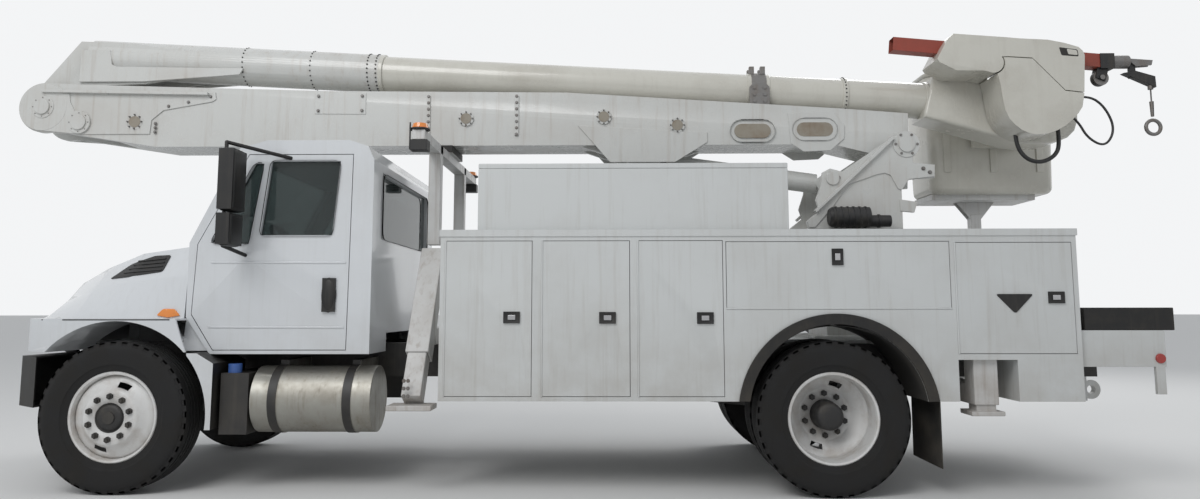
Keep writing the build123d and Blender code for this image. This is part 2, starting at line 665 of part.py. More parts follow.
# Between the packs: the deck, and the tail shelf with its aprons and towing hook
with BuildPart() as service_body:
    # deck: the load bay, and a bay a little lower that the pedestal stands on
    block(body_front_x, deck_split_x, -pack_inner_y, pack_inner_y, rail_top, rail_top + deck_t)
    block(deck_split_x, body_rear_x, -pack_inner_y, pack_inner_y, rail_top, rail_top + deck_t - deck_step)
    for y0, y1 in ((-pack_inner_y - 1, -560), (560, pack_inner_y + 1)):
        pin_y(arch_x, arch_z, arch_r, y0, y1, mode=Mode.SUBTRACT)
    # tail shelf with aprons
    block(body_rear_x, shelf_x1, -body_half_w + 40, body_half_w - 40, rail_top, shelf_z1)
    block(body_rear_x, shelf_x1 - 30, -body_half_w + 70, body_half_w - 70, rail_top - 1, shelf_z1 - 30,
          mode=Mode.SUBTRACT)
    for side in (-1, 1):
        y = side * (body_half_w - 55)
        block(body_rear_x, shelf_x1, y - 15, y + 15, shelf_z0, rail_top)
        block(shelf_x1 - 70, shelf_x1 - 10, y - 15, y + 15, 671, shelf_z0)
    block(shelf_x1 - 30, shelf_x1, -body_half_w + 40, body_half_w - 40, shelf_z0, rail_top)
    block(body_rear_x, shelf_x1 - 30, -rail_y, -rail_y + 70, rail_top, shelf_z1 - 30)
    block(body_rear_x, shelf_x1 - 30, rail_y - 70, rail_y, rail_top, shelf_z1 - 30)
    # towing hook
    block(shelf_x1 - 20, shelf_x1 + 40, -110, 110, 520, 850)
    block(shelf_x1 + 40, shelf_x1 + 90, -30, 30, 560, 640)
    pin_y(shelf_x1 + 115, 600, 75, -30, 30)
    pin_y(shelf_x1 + 115, 600, 32, -31, 31, mode=Mode.SUBTRACT)
save(service_body, "service_body")

# Compartment doors with their latches
# latch place from the rear axle, height, along X, along Z
latches = [
    (-2136, 1178, 110, 74),
    (-1496, 1175, 110, 74),
    (-846, 1173, 110, 74),
    (41, 1578, 74, 110),
    (1476, 1307, 110, 74),
]
for number, (leaf, latch) in enumerate(zip(side_doors, latches), start=1):
    with BuildPart() as side_door:
        x0, x1, z0, z1 = leaf
        block(rear_axle_x + x0 + leaf_gap, rear_axle_x + x1 - leaf_gap, -body_half_w, -body_half_w + skin,
              z0 + leaf_gap, z1 - leaf_gap)
        start, end, across, height = hinge_of(leaf)
        hinge_line(start, start + knuckle_len, across, height, door_pin_r + pin_slack, mode=Mode.SUBTRACT)
        hinge_line(end - knuckle_len, end, across, height, door_pin_r + pin_slack, mode=Mode.SUBTRACT)
        hinge_line(start + knuckle_len, end - knuckle_len, across, height, door_pin_r)
        lx, lz, lw, lh = latch
        block(rear_axle_x + lx - lw / 2, rear_axle_x + lx + lw / 2, -body_half_w - 10, -body_half_w,
              lz - lh / 2, lz + lh / 2)
    save_pair(side_door, f"side_door_{number}")

# Rubber: wheel arch flares, mud flaps and the tail shelf's corner pads
with BuildPart() as rubber_guards:
    pin_y(arch_x, arch_z, arch_r + arch_flare, -body_half_w - 18, -body_half_w)
    pin_y(arch_x, arch_z, arch_r, -body_half_w - 19, -body_half_w + 1, mode=Mode.SUBTRACT)
    block(arch_x - 700, arch_x + 700, -body_half_w - 20, -body_half_w + 2, -200, body_z0, mode=Mode.SUBTRACT)
    block(rear_axle_x + 690, rear_axle_x + 700, -1190, -640, 190, body_z0)
    block(body_rear_x + 45, shelf_x1 + 70, -body_half_w + 40, -body_half_w + 330, shelf_z1, shelf_z1 + 150)
    both_sides()
save(rubber_guards, "rubber_guards")

# Top chest on the driver's side compartments, and its lid hinged at the outer edge
chest_x0 = rear_axle_x - 2380
chest_x1 = rear_axle_x - 265
chest_y0 = -(body_half_w - 40)
chest_y1 = chest_y0 + 420
chest_z1 = 2190
chest_wall = 20
lid_t = 36
with BuildPart() as chest:
    block(chest_x0, chest_x1, chest_y0, chest_y1, body_top_z, chest_z1)
    block(chest_x0 + chest_wall, chest_x1 - chest_wall, chest_y0 + chest_wall, chest_y1 - chest_wall,
          body_top_z + chest_wall, chest_z1 + 1, mode=Mode.SUBTRACT)
save(chest, "chest")

with BuildPart() as chest_lid:
    block(chest_x0, chest_x1, chest_y0, chest_y1, chest_z1 + seat_gap, chest_z1 + seat_gap + lid_t)
save(chest_lid, "chest_lid")

# Pedestal under the boom turret
with BuildPart() as pedestal:
    deck_z = rail_top + deck_t - deck_step
    block(turret_x - 300, turret_x + 300, -320, 320, deck_z, bearing_z - 60)
    block(turret_x - 270, turret_x + 270, -290, 290, deck_z - 1, bearing_z - 90, mode=Mode.SUBTRACT)
    block(turret_x - pedestal_base_half, turret_x + pedestal_base_half, -rail_y, rail_y, deck_z, deck_z + 25)
    post_z(turret_x, 0, 395, bearing_z - 60, bearing_z)
save(pedestal, "pedestal")

# Outriggers: a slanted pair behind the cab and an upright pair behind the rear wheels
sleeve_wall = 14
leg_half = sleeve / 2 - sleeve_wall - seat_gap
front_sleeve_x = rear_axle_x - 2810
front_top = Vector(front_sleeve_x, -520, 1650)
front_foot = Vector(front_sleeve_x, -1150, 600)
front_run = (front_foot - front_top).normalized()
front_tilt = Plane(origin=front_top, x_dir=(1, 0, 0), z_dir=front_run)
front_sleeve_len = 870
front_leg_len = (front_foot - front_top).length - 30
post_w = 90
rest_top_z = boom_z0 - seat_gap
with BuildPart() as outrigger_frames:
    with BuildSketch(front_tilt) as tube:
        Rectangle(sleeve, sleeve)
        Rectangle(sleeve - 2 * sleeve_wall, sleeve - 2 * sleeve_wall, mode=Mode.SUBTRACT)
    extrude(tube.sketch, amount=front_sleeve_len)
    block(front_sleeve_x - sleeve / 2, front_sleeve_x + sleeve / 2, -780, 0, rail_top, rail_top + 120)
    block(rear_sleeve_x - sleeve / 2, rear_sleeve_x + sleeve / 2, rear_leg_y - sleeve / 2,
          rear_leg_y + sleeve / 2, 600, rear_sleeve_top)
    block(rear_sleeve_x - sleeve / 2, rear_sleeve_x + sleeve / 2, rear_leg_y, 0, 600, rail_z0)
    block(rear_sleeve_x - sleeve / 2 + sleeve_wall, rear_sleeve_x + sleeve / 2 - sleeve_wall,
          rear_leg_y - sleeve / 2 + sleeve_wall, rear_leg_y + sleeve / 2 - sleeve_wall, 599,
          rear_sleeve_top - sleeve_wall, mode=Mode.SUBTRACT)
    with BuildSketch(front_tilt) as bore:
        Rectangle(sleeve - 2 * sleeve_wall, sleeve - 2 * sleeve_wall)
    extrude(bore.sketch, amount=front_sleeve_len, mode=Mode.SUBTRACT)
    both_sides()
save(outrigger_frames, "outrigger_frames")

with BuildPart() as front_outrigger:
    with BuildSketch(front_tilt.offset(40)) as leg:
        Rectangle(2 * leg_half, 2 * leg_half)
    extrude(leg.sketch, amount=front_leg_len - 40)
    block(front_sleeve_x - 150, front_sleeve_x + 150, -1250, -1050, 565, 600)
save_pair(front_outrigger, "front_outrigger")

with BuildPart() as rear_outrigger:
    block(rear_sleeve_x - leg_half, rear_sleeve_x + leg_half, rear_leg_y - leg_half, rear_leg_y + leg_half,
          560, rear_sleeve_top - 50)
    block(rear_sleeve_x - 110, rear_sleeve_x + 110, rear_leg_y - 100, rear_leg_y + 100, 530, 560)
save_pair(rear_outrigger, "rear_outrigger")

# Rests: the boom's behind the cab, and the bucket's over the kerb side compartments
bucket_z0 = 2236
bucket_rest_x = rear_axle_x + 1800
bucket_rest_y = 780
with BuildPart() as rests:
    block(front_sleeve_x - post_w / 2, front_sleeve_x + post_w / 2, -520 - post_w / 2, -520 + post_w / 2,
          1715, rest_top_z - 60)
    both_sides()
    block(front_sleeve_x - post_w / 2, front_sleeve_x + post_w / 2, -1130, 1130, rest_top_z - 130,
          rest_top_z - 60)
    block(front_sleeve_x - 70, front_sleeve_x + 70, -230, 230, rest_top_z - 60, rest_top_z)
    # bucket rest: post, gussets and a flat pad
    block(bucket_rest_x - 160, bucket_rest_x - 80, bucket_rest_y - 40, bucket_rest_y + 40, body_top_z,
          bucket_z0 - 100)
    block(bucket_rest_x - 500, bucket_rest_x + 500, bucket_rest_y - 220, bucket_rest_y + 220,
          bucket_z0 - 100, bucket_z0 - 50)
    block(bucket_rest_x - 500, bucket_rest_x + 500, bucket_rest_y - 220, bucket_rest_y + 220,
          bucket_z0 - 50, bucket_z0 - seat_gap)
save(rests, "rests")

with BuildPart() as beacons:
    for side in (-1, 1):
        post_z(front_sleeve_x, side * 1080, 72, rest_top_z - 60, rest_top_z - 10)
save(beacons, "beacons")

# Turret: two cheek plates on the slewing ring, with the boom's pivot pin and the cylinder's pin
cyl_x = rear_axle_x + 253
cyl_z = 2243
cheek = [
    # outline from the nose round the cylinder boss, the pivot boss and the tail tab
    (60, bearing_z + 50), (40, 1910), (150, 2080), (170, 2262), (253, 2325), (330, 2290), (560, 2400),
    (745, 2590), (835, 2622), (942, 2512), (935, 2380), (1060, 2378), (1060, 2255), (935, 2255),
    (905, 2100), (905, bearing_z + 50),
]
pivot_pin_r = 50
cyl_pin_r = 32
with BuildPart() as turret:
    post_z(turret_x, 0, 395, bearing_z + seat_gap, bearing_z + 50)
    outline = [(rear_axle_x + x, z) for x, z in cheek]
    side_plate(outline, -turret_plate_y - turret_plate_t, -turret_plate_y)
    both_sides()
    block(turret_x - 380, turret_x + 380, -turret_plate_y, turret_plate_y, bearing_z + 50, bearing_z + 75)
    pin_y(pivot_x, pivot_z, pivot_pin_r, -turret_plate_y - 40, turret_plate_y + 40)
    pin_y(cyl_x, cyl_z, cyl_pin_r, -turret_plate_y - 35, turret_plate_y + 35)
    # swing motor and gearbox on the near cheek
    pin_x(-430, 1945, 92, rear_axle_x + 255, rear_axle_x + 560)
    pin_x(-430, 1945, 52, rear_axle_x + 560, rear_axle_x + 720)
    block(rear_axle_x + 330, rear_axle_x + 500, -420, -turret_plate_y, 1880, 2000)
save(turret, "turret")

# Upper boom's axis, sloping down from the elbow to the tip
axis_x0 = rear_axle_x - 5800
axis_z0 = 3326
axis_slope = -0.0567


def axis_point(x):
    """The upper boom's axis above a place along X."""
    return (x, 0, axis_z0 + axis_slope * (x - axis_x0))


upper_r = 146
upper_root_r = 158
trough_r = 168

# Lower boom: a box beam, its front end a fork round the elbow
lug_x = rear_axle_x - 1210
lug_z = 2440
lug_gap = 88
lower_outline = [(905, 2440), (905, 2790), (400, 2830), (-700, 2905), (-1832, boom_z1 - 12),
                 (-3774, boom_z1 + 10), (-5790, 3058), (-6080, elbow_z + elbow_r), (-6085, elbow_z - elbow_r),
                 (-6000, 2672), (-5150, boom_z0), (300, boom_z0), (700, 2440)]
lower_cavity = [(600, 2600), (600, 2790), (-1832, boom_z1 - 40), (-5500, boom_z1 + 5), (-5500, 2620),
                (-5150, boom_z0 + boom_wall), (500, boom_z0 + boom_wall)]
with BuildPart() as lower_boom:
    side_plate([(rear_axle_x + x, z) for x, z in lower_outline], -boom_half_w, boom_half_w)
    pin_y(elbow_x, elbow_z, elbow_r, -boom_half_w, boom_half_w)
    pin_y(pivot_x, pivot_z, 112, -turret_plate_y + 6, turret_plate_y - 6)
    bar(axis_point(axis_x0 - 600), axis_point(rear_axle_x + 1000), trough_r, mode=Mode.SUBTRACT)
    # hollow inside, below the trough
    with BuildPart(mode=Mode.PRIVATE) as hollow:
        side_plate([(rear_axle_x + x, z) for x, z in lower_cavity], -boom_half_w + boom_wall,
                   boom_half_w - boom_wall)
        bar(axis_point(axis_x0 - 600), axis_point(rear_axle_x + 1000), trough_r + boom_wall,
            mode=Mode.SUBTRACT)
    add(hollow.part, mode=Mode.SUBTRACT)
    # the fork's slot, open above, in front and below
    block(elbow_x - 400, rear_axle_x - 5480, -150, 150, 2300, 3300, mode=Mode.SUBTRACT)
    pin_y(elbow_x, elbow_z, 55, -boom_half_w - 12, boom_half_w + 12)
    pin_y(pivot_x, pivot_z, pivot_pin_r + pin_slack, -turret_plate_y, turret_plate_y, mode=Mode.SUBTRACT)
    # cylinder lugs
    for side in (-1, 1):
        y = side * (lug_gap + 20)
        side_plate([(lug_x - 500, boom_z0 + 2), (lug_x - 60, lug_z - 50), (lug_x + 60, lug_z - 50),
                    (lug_x + 480, boom_z0 + 2)], y - 20, y + 20)
        pin_y(lug_x, lug_z, 30, min(y + side * 20, y + side * 34), max(y + side * 20, y + side * 34))
save(lower_boom, "lower_boom")

# Lift cylinder: the barrel on the turret's pin, the rod's eye between the boom's lugs
cyl_from = Vector(cyl_x, 0, cyl_z)
cyl_to = Vector(lug_x, 0, lug_z)
cyl_run = (cyl_to - cyl_from).normalized()
cyl_len = (cyl_to - cyl_from).length
barrel_r = 80
rod_r = 42
bore_from = 80
piston_len = 30
piston_r = rod_r + 12
gland_from = cyl_len - 236
barrel_to = cyl_len - 190
with BuildPart() as lift_barrel:
    bar(tuple(cyl_from + cyl_run * 60), tuple(cyl_from + cyl_run * barrel_to), barrel_r)
    bar(tuple(cyl_from + cyl_run * bore_from), tuple(cyl_from + cyl_run * gland_from), piston_r + seat_gap,
        mode=Mode.SUBTRACT)
    bar(tuple(cyl_from + cyl_run * (gland_from - 1)), tuple(cyl_from + cyl_run * (barrel_to + 1)),
        rod_r + seat_gap, mode=Mode.SUBTRACT)
    pin_y(cyl_x, cyl_z, 66, -80, 80)
    pin_y(cyl_x, cyl_z, cyl_pin_r + pin_slack, -81, 81, mode=Mode.SUBTRACT)
save(lift_barrel, "lift_barrel")

with BuildPart() as lift_rod:
    bar(tuple(cyl_from + cyl_run * (bore_from + 2)), tuple(cyl_to - cyl_run * 40), rod_r)
    bar(tuple(cyl_from + cyl_run * (bore_from + 2)), tuple(cyl_from + cyl_run * (bore_from + 2 + piston_len)),
        piston_r)
    pin_y(lug_x, lug_z, 62, -lug_gap + 8, lug_gap - 8)
    pin_y(lug_x, lug_z, 34, -lug_gap, lug_gap, mode=Mode.SUBTRACT)
save(lift_rod, "lift_rod")

# Upper boom: a steel root in the elbow's fork, a glass-fibre tube and the tip's covers
root_outline = [
    # the narrow cheeks that turn inside the fork
    (-5853, 3440), (-5400, 3420), (-4650, 3290), (-4564, 3205), (-5300, 3078), (-5620, 3068),
    (-5905, 2960), (-6060, 2720), (-6190, 2760), (-6230, 2980),
]
tube_x0 = rear_axle_x - 3480
tube_x1 = rear_axle_x + 1160
root_x0 = rear_axle_x - 5790
with BuildPart() as upper_steel:
    for y0, y1 in ((-140, -112), (112, 140)):
        side_plate([(rear_axle_x + x, z) for x, z in root_outline], y0, y1)
    pin_y(elbow_x, elbow_z, 150, -140, 140)
    bar(axis_point(root_x0), axis_point(tube_x0 + 110), upper_root_r)
    bar(axis_point(root_x0 + 30), axis_point(tube_x0 + 111), upper_r - 12, mode=Mode.SUBTRACT)
    bar(axis_point(tube_x0), axis_point(tube_x0 + 111), upper_r, mode=Mode.SUBTRACT)
    pin_y(elbow_x, elbow_z, 55 + pin_slack, -141, 141, mode=Mode.SUBTRACT)
save(upper_steel, "upper_boom_root")

with BuildPart() as upper_tube:
    bar(axis_point(tube_x0), axis_point(tube_x1), upper_r)
    bar(axis_point(tube_x0 - 1), axis_point(tube_x1 + 1), upper_r - 14, mode=Mode.SUBTRACT)
save(upper_tube, "upper_boom_tube")

tip_half_w = 162
tip_r = 400
shaft_r = 60
with BuildPart() as boom_tip:
    with BuildPart(mode=Mode.PRIVATE) as half_disc:
        pin_y(tip_x, tip_z, tip_r, -tip_half_w, tip_half_w)
        block(tip_x - tip_r, tip_x + tip_r, -tip_half_w, tip_half_w, tip_z - tip_r - 5, tip_z,
              mode=Mode.INTERSECT)
    add(half_disc.part)
    side_plate([(rear_axle_x + 1130, 2790), (rear_axle_x + 1130, 3092), (rear_axle_x + 1640, 3092),
                (tip_x + tip_r - 20, tip_z), (tip_x - 120, tip_z - tip_r + 20), (rear_axle_x + 1300, 2770)],
               -tip_half_w, tip_half_w)
    bar(axis_point(rear_axle_x + 1100), axis_point(rear_axle_x + 1300), upper_r, mode=Mode.SUBTRACT)
    block(rear_axle_x + 1290, tip_x + 260, -tip_half_w + 14, tip_half_w - 14, 2700, 3060, mode=Mode.SUBTRACT)
    pin_y(tip_x, tip_z, shaft_r + 40, -tip_half_w, tip_half_w)
    pin_y(tip_x, tip_z, shaft_r + pin_slack, -tip_half_w - 1, tip_half_w + 1, mode=Mode.SUBTRACT)
save(boom_tip, "boom_tip")

# Platform head: the housing beside the tip, on the levelling shaft, and the bucket's bracket
head_y0 = -500
head_y1 = -172
head_r = 372
bucket_y0 = 450
bucket_w = 610
bucket_len = 1130
bucket_h = 1070
bucket_x0 = rear_axle_x + 1295
bucket_wall = 14
jib_pivot_x = rear_axle_x + 1470
jib_pivot_z = 3118
knuckle_r = 84
split = [(jib_pivot_x, jib_pivot_z + 15), (jib_pivot_x + 190, jib_pivot_z + 25), (tip_x + 150, tip_z - 30),
         (tip_x + head_r + 40, tip_z - 60)]
with BuildPart() as jib_head:
    pin_y(tip_x, tip_z, head_r, head_y0, head_y1)
    block(tip_x - head_r, tip_x + head_r, head_y0, head_y1, tip_z, 3390)
    side_plate(split + [(tip_x + 600, 3600), (rear_axle_x + 1000, 3600), (rear_axle_x + 1000, jib_pivot_z + 15)],
               head_y0 - 1, head_y1 + 1, mode=Mode.SUBTRACT)
    pin_y(jib_pivot_x, jib_pivot_z, knuckle_r + 8, head_y0 - 1, head_y1 + 1, mode=Mode.SUBTRACT)
    pin_y(tip_x, tip_z, shaft_r, head_y1, bucket_y0 - 60)
    block(tip_x - 230, tip_x + 230, bucket_y0 - 70, bucket_y0 - 20, tip_z - 330, tip_z + 180)
    block(tip_x - 180, tip_x + 180, bucket_y0 - 20, bucket_y0, tip_z - 280, tip_z + 120)
save(jib_head, "jib_head")

# Jib: the cover that tilts with it, the square tube through it, and the sheave end
jib_y = -335
jib_half = 54
jib_x0 = rear_axle_x + 745
jib_x1 = rear_axle_x + 2380
jib_z0 = 3308
jib_slope = -0.091
hook_r = 72
jib_dir = Vector(1, 0, jib_slope).normalized()
jib_plane = Plane(origin=(jib_x0, jib_y, jib_z0), x_dir=(0, 1, 0), z_dir=jib_dir)
jib_len = (jib_x1 - jib_x0) * sqrt(1 + jib_slope ** 2)
with BuildPart() as jib_cover:
    side_plate([(split[0][0], split[0][1] + 5), (split[1][0], split[1][1] + 5), (split[2][0] + 3, split[2][1] + 5),
                (tip_x + head_r, tip_z - 50), (tip_x + head_r, 3380), (tip_x + head_r - 20, 3395),
                (rear_axle_x + 1240, 3405), (rear_axle_x + 1150, 3330), (rear_axle_x + 1150, 3190),
                (rear_axle_x + 1240, 3110), (jib_pivot_x - 70, 3110)], head_y0, head_y1)
    pin_y(jib_pivot_x, jib_pivot_z, knuckle_r, head_y0, head_y1)
    with BuildSketch(jib_plane) as tube_bore:
        Rectangle(2 * jib_half, 2 * jib_half)
    extrude(tube_bore.sketch, amount=jib_len, mode=Mode.SUBTRACT)
save(jib_cover, "jib_cover")

with BuildPart() as jib:
    with BuildSketch(jib_plane) as tube_section:
        Rectangle(2 * jib_half, 2 * jib_half)
        Rectangle(2 * jib_half - 20, 2 * jib_half - 20, mode=Mode.SUBTRACT)
    extrude(tube_section.sketch, amount=jib_len)
    end_z = jib_z0 + jib_slope * (jib_x1 - jib_x0)
    block(jib_x1 - 40, jib_x1 + 60, jib_y - 70, jib_y + 70, end_z - 75, end_z + 65)
    bar((jib_x1 + 50, jib_y, end_z), (jib_x1 + 240, jib_y, end_z - 25), 38)
    pin_y(jib_x1 + 20, end_z - 110, 70, jib_y - 22, jib_y + 22)
    block(rear_axle_x + 2600, rear_axle_x + jib_reach, jib_y - 50, jib_y + 50, end_z - 85, end_z + 25)
    hook_x = rear_axle_x + jib_reach - hook_r
    bar((hook_x, jib_y, end_z - 80), (hook_x, jib_y, end_z - 450), 8)
    pin_y(hook_x, end_z - 520, hook_r, jib_y - 14, jib_y + 14)
    pin_y(hook_x, end_z - 520, 40, jib_y - 15, jib_y + 15, mode=Mode.SUBTRACT)
save(jib, "jib")

# Bucket: an open-topped tub, tapering a little downwards
with BuildPart() as bucket:
    cx = bucket_x0 + bucket_len / 2
    cy = bucket_y0 + bucket_w / 2
    with BuildSketch(Plane.XY.offset(bucket_z0)) as floor_face:
        with Locations((cx, cy)):
            Rectangle(bucket_len - 60, bucket_w - 30)
    with BuildSketch(Plane.XY.offset(bucket_z0 + bucket_h)) as lip_face:
        with Locations((cx, cy)):
            Rectangle(bucket_len, bucket_w)
    loft([floor_face.sketch.face(), lip_face.sketch.face()], ruled=True)
    with BuildSketch(Plane.XY.offset(bucket_z0 + bucket_wall)) as inner_floor:
        with Locations((cx, cy)):
            Rectangle(bucket_len - 60 - 2 * bucket_wall, bucket_w - 30 - 2 * bucket_wall)
    with BuildSketch(Plane.XY.offset(bucket_z0 + bucket_h + 1)) as inner_lip:
        with Locations((cx, cy)):
            Rectangle(bucket_len - 2 * bucket_wall, bucket_w - 2 * bucket_wall)
    loft([inner_floor.sketch.face(), inner_lip.sketch.face()], ruled=True, mode=Mode.SUBTRACT)
save(bucket, "bucket")
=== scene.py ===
import json
import math

import bmesh
import bpy
from mathutils import Matrix, Vector
from mathutils.bvhtree import BVHTree


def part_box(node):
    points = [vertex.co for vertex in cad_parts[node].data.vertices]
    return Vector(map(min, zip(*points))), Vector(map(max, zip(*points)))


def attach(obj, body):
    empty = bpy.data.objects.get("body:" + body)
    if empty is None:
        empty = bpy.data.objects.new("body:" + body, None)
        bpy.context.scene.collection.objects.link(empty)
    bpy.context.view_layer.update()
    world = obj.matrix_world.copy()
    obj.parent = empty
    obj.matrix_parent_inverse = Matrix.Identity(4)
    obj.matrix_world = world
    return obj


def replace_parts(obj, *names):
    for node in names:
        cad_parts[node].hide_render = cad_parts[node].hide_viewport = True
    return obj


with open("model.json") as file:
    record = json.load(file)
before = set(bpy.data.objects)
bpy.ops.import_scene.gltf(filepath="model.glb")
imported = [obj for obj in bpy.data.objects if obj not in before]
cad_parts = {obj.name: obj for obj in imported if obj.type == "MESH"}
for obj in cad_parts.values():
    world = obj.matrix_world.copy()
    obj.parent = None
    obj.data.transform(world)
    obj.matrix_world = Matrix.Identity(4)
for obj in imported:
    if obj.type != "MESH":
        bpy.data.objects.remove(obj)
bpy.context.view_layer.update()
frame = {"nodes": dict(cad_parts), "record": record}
nodes = frame["nodes"]
record = frame["record"]
scene = bpy.context.scene

# Floor, light and camera.
# A pale studio floor, a soft dome of light and two broad lamps, seen from the driver's side at
# chest height, a little ahead of the rear axle.
floor_mesh = bpy.data.meshes.new("floor")
floor_bm = bmesh.new()
bmesh.ops.create_grid(floor_bm, x_segments=1, y_segments=1, size=400.0)
bmesh.ops.translate(floor_bm, verts=floor_bm.verts, vec=(0, 0, -0.002))
floor_bm.to_mesh(floor_mesh)
floor_bm.free()
floor = bpy.data.objects.new("floor", floor_mesh)
scene.collection.objects.link(floor)


def new_material(name, **values):
    """A material, its node tree and its shader, with some of the shader's inputs set."""
    finish = bpy.data.materials.new(name)
    finish.use_nodes = True
    shader = finish.node_tree.nodes["Principled BSDF"]
    for label, value in values.items():
        shader.inputs[label.replace("_", " ")].default_value = value
    return finish, finish.node_tree, shader


floor_grey = (0.80, 0.80, 0.79, 1.0)
floor_mesh.materials.append(new_material("studio_floor", Base_Color=floor_grey, Roughness=0.9)[0])


def add_node(tree, kind, setting=None, **values):
    """A shader node with a setting and some of its inputs, named with underscores for spaces."""
    node = tree.nodes.new(kind)
    if setting:
        setattr(node, *setting)
    for label, value in values.items():
        node.inputs[label.replace("_", " ")].default_value = value
    return node


def seen_rays(tree):
    """1 for what the camera, reflections and glass see, 0 for light that falls on the object."""
    light = add_node(tree, "ShaderNodeLightPath")
    seen = light.outputs["Is Camera Ray"]
    for other in ("Is Glossy Ray", "Is Transmission Ray"):
        either = add_node(tree, "ShaderNodeMath", ("operation", "MAXIMUM"))
        tree.links.new(seen, either.inputs[0])
        tree.links.new(light.outputs[other], either.inputs[1])
        seen = either.outputs[0]
    return seen


world = bpy.data.worlds.new("studio")
world.use_nodes = True
scene.world = world
sky = world.node_tree
sky.nodes.clear()
sky_out = add_node(sky, "ShaderNodeOutputWorld")
seen_white = add_node(sky, "ShaderNodeBackground", Color=(0.90, 0.91, 0.92, 1.0))
lit_soft = add_node(sky, "ShaderNodeBackground", Color=(0.93, 0.96, 1.0, 1.0), Strength=0.50)
sky_mix = add_node(sky, "ShaderNodeMixShader")
sky.links.new(seen_rays(sky), sky_mix.inputs[0])
sky.links.new(lit_soft.outputs[0], sky_mix.inputs[1])
sky.links.new(seen_white.outputs[0], sky_mix.inputs[2])
sky.links.new(sky_mix.outputs[0], sky_out.inputs[0])


def area_lamp(name, place, aim, width, watts):
    """A square soft lamp at one place, turned to another."""
    lamp = bpy.data.lights.new(name, "AREA")
    lamp.size = width
    lamp.energy = watts
    holder = bpy.data.objects.new(name, lamp)
    holder.location = place
    holder.rotation_euler = (Vector(aim) - Vector(place)).to_track_quat("-Z", "Y").to_euler()
    scene.collection.objects.link(holder)


area_lamp("key_lamp", (-4.0, -9.0, 9.0), (0, 0, 1.2), 6.0, 560.0)
area_lamp("rear_lamp", (7.0, 8.0, 9.0), (0, 0, 1.5), 6.0, 340.0)

camera_data = bpy.data.cameras.new("viewer")
camera_data.sensor_width = 36.0
camera_data.lens = 25.868
camera_data.shift_y = -0.03
camera_data.clip_end = 200.0
camera = bpy.data.objects.new("viewer", camera_data)
camera.location = (0.2735, -7.0114, 1.2294)
camera.rotation_euler = (math.pi / 2 + 0.1110, 0.0009, 0.0155)
scene.collection.objects.link(camera)
scene.camera = camera
scene.view_settings.view_transform = "Standard"

# Ladder frame, axles, springs and steering knuckles.
# Pressed and forged steel under black chassis paint, dusty from the road, most of all low down.
# The CAD solids keep their own shape here and only take the finish.
body_of = {node: body for body, members in record["behaviour"]["bodies"].items() for node in members}


def weather_group():
    """Cloudy grime, streaks that run down and dust near the ground, laid over a paint."""
    group = bpy.data.node_groups.new("weather", "ShaderNodeTree")
    sockets = {
        "INPUT": {
            "Color": ("Paint", "Grime"),
            "Float": ("Patch Scale", "Patches", "Streaks", "Low Dust", "Gloss"),
        },
        "OUTPUT": {"Color": ("Color",), "Float": ("Roughness", "Height")},
    }
    for way, kinds in sockets.items():
        for kind, labels in kinds.items():
            for label in labels:
                group.interface.new_socket(label, in_out=way, socket_type=f"NodeSocket{kind}")
    join = group.links.new
    given = add_node(group, "NodeGroupInput").outputs
    out = add_node(group, "NodeGroupOutput")
    place = add_node(group, "ShaderNodeTexCoord")

    def cloud(scale_socket, stretch, detail, low, high):
        """A soft noise between two levels, stretched along the axes."""
        turn = add_node(group, "ShaderNodeMapping", Scale=stretch)
        join(place.outputs["Object"], turn.inputs["Vector"])
        noise = add_node(group, "ShaderNodeTexNoise", Detail=detail, Roughness=0.62)
        join(turn.outputs[0], noise.inputs["Vector"])
        if scale_socket is not None:
            join(scale_socket, noise.inputs["Scale"])
        level = add_node(group, "ShaderNodeMapRange", From_Min=low, From_Max=high)
        join(noise.outputs[0], level.inputs["Value"])
        return level.outputs[0]

    def sum_of(a, b, operation="ADD"):
        """Two values joined by one sum."""
        node = add_node(group, "ShaderNodeMath", ("operation", operation))
        node.use_clamp = True
        join(a, node.inputs[0])
        join(b, node.inputs[1])
        return node.outputs[0]

    patches = sum_of(cloud(given["Patch Scale"], (1, 1, 1), 7, 0.47, 0.80), given["Patches"], "MULTIPLY")
    streaks = sum_of(cloud(None, (5.5, 5.5, 0.28), 5, 0.52, 0.78), given["Streaks"], "MULTIPLY")
    apart = add_node(group, "ShaderNodeSeparateXYZ")
    join(place.outputs["Object"], apart.inputs[0])
    low_down = add_node(group, "ShaderNodeMapRange", From_Min=1.25, From_Max=0.30)
    join(apart.outputs["Z"], low_down.inputs["Value"])
    dusty = sum_of(low_down.outputs[0], cloud(None, (1, 1, 1), 5, 0.25, 0.62), "MULTIPLY")
    mask = sum_of(sum_of(patches, streaks), sum_of(dusty, given["Low Dust"], "MULTIPLY"))
    blend = add_node(group, "ShaderNodeMix", ("data_type", "RGBA"))
    join(mask, blend.inputs["Factor"])
    join(given["Paint"], blend.inputs["A"])
    join(given["Grime"], blend.inputs["B"])
    join(blend.outputs["Result"], out.inputs["Color"])
    rough = add_node(group, "ShaderNodeMath", ("operation", "MULTIPLY_ADD"))
    rough.use_clamp = True
    rough.inputs[1].default_value = 0.45
    join(mask, rough.inputs[0])
    join(given["Gloss"], rough.inputs[2])
    join(rough.outputs[0], out.inputs["Roughness"])
    join(cloud(None, (42, 42, 42), 3, 0.3, 0.7), out.inputs["Height"])
    return group


weather = weather_group()


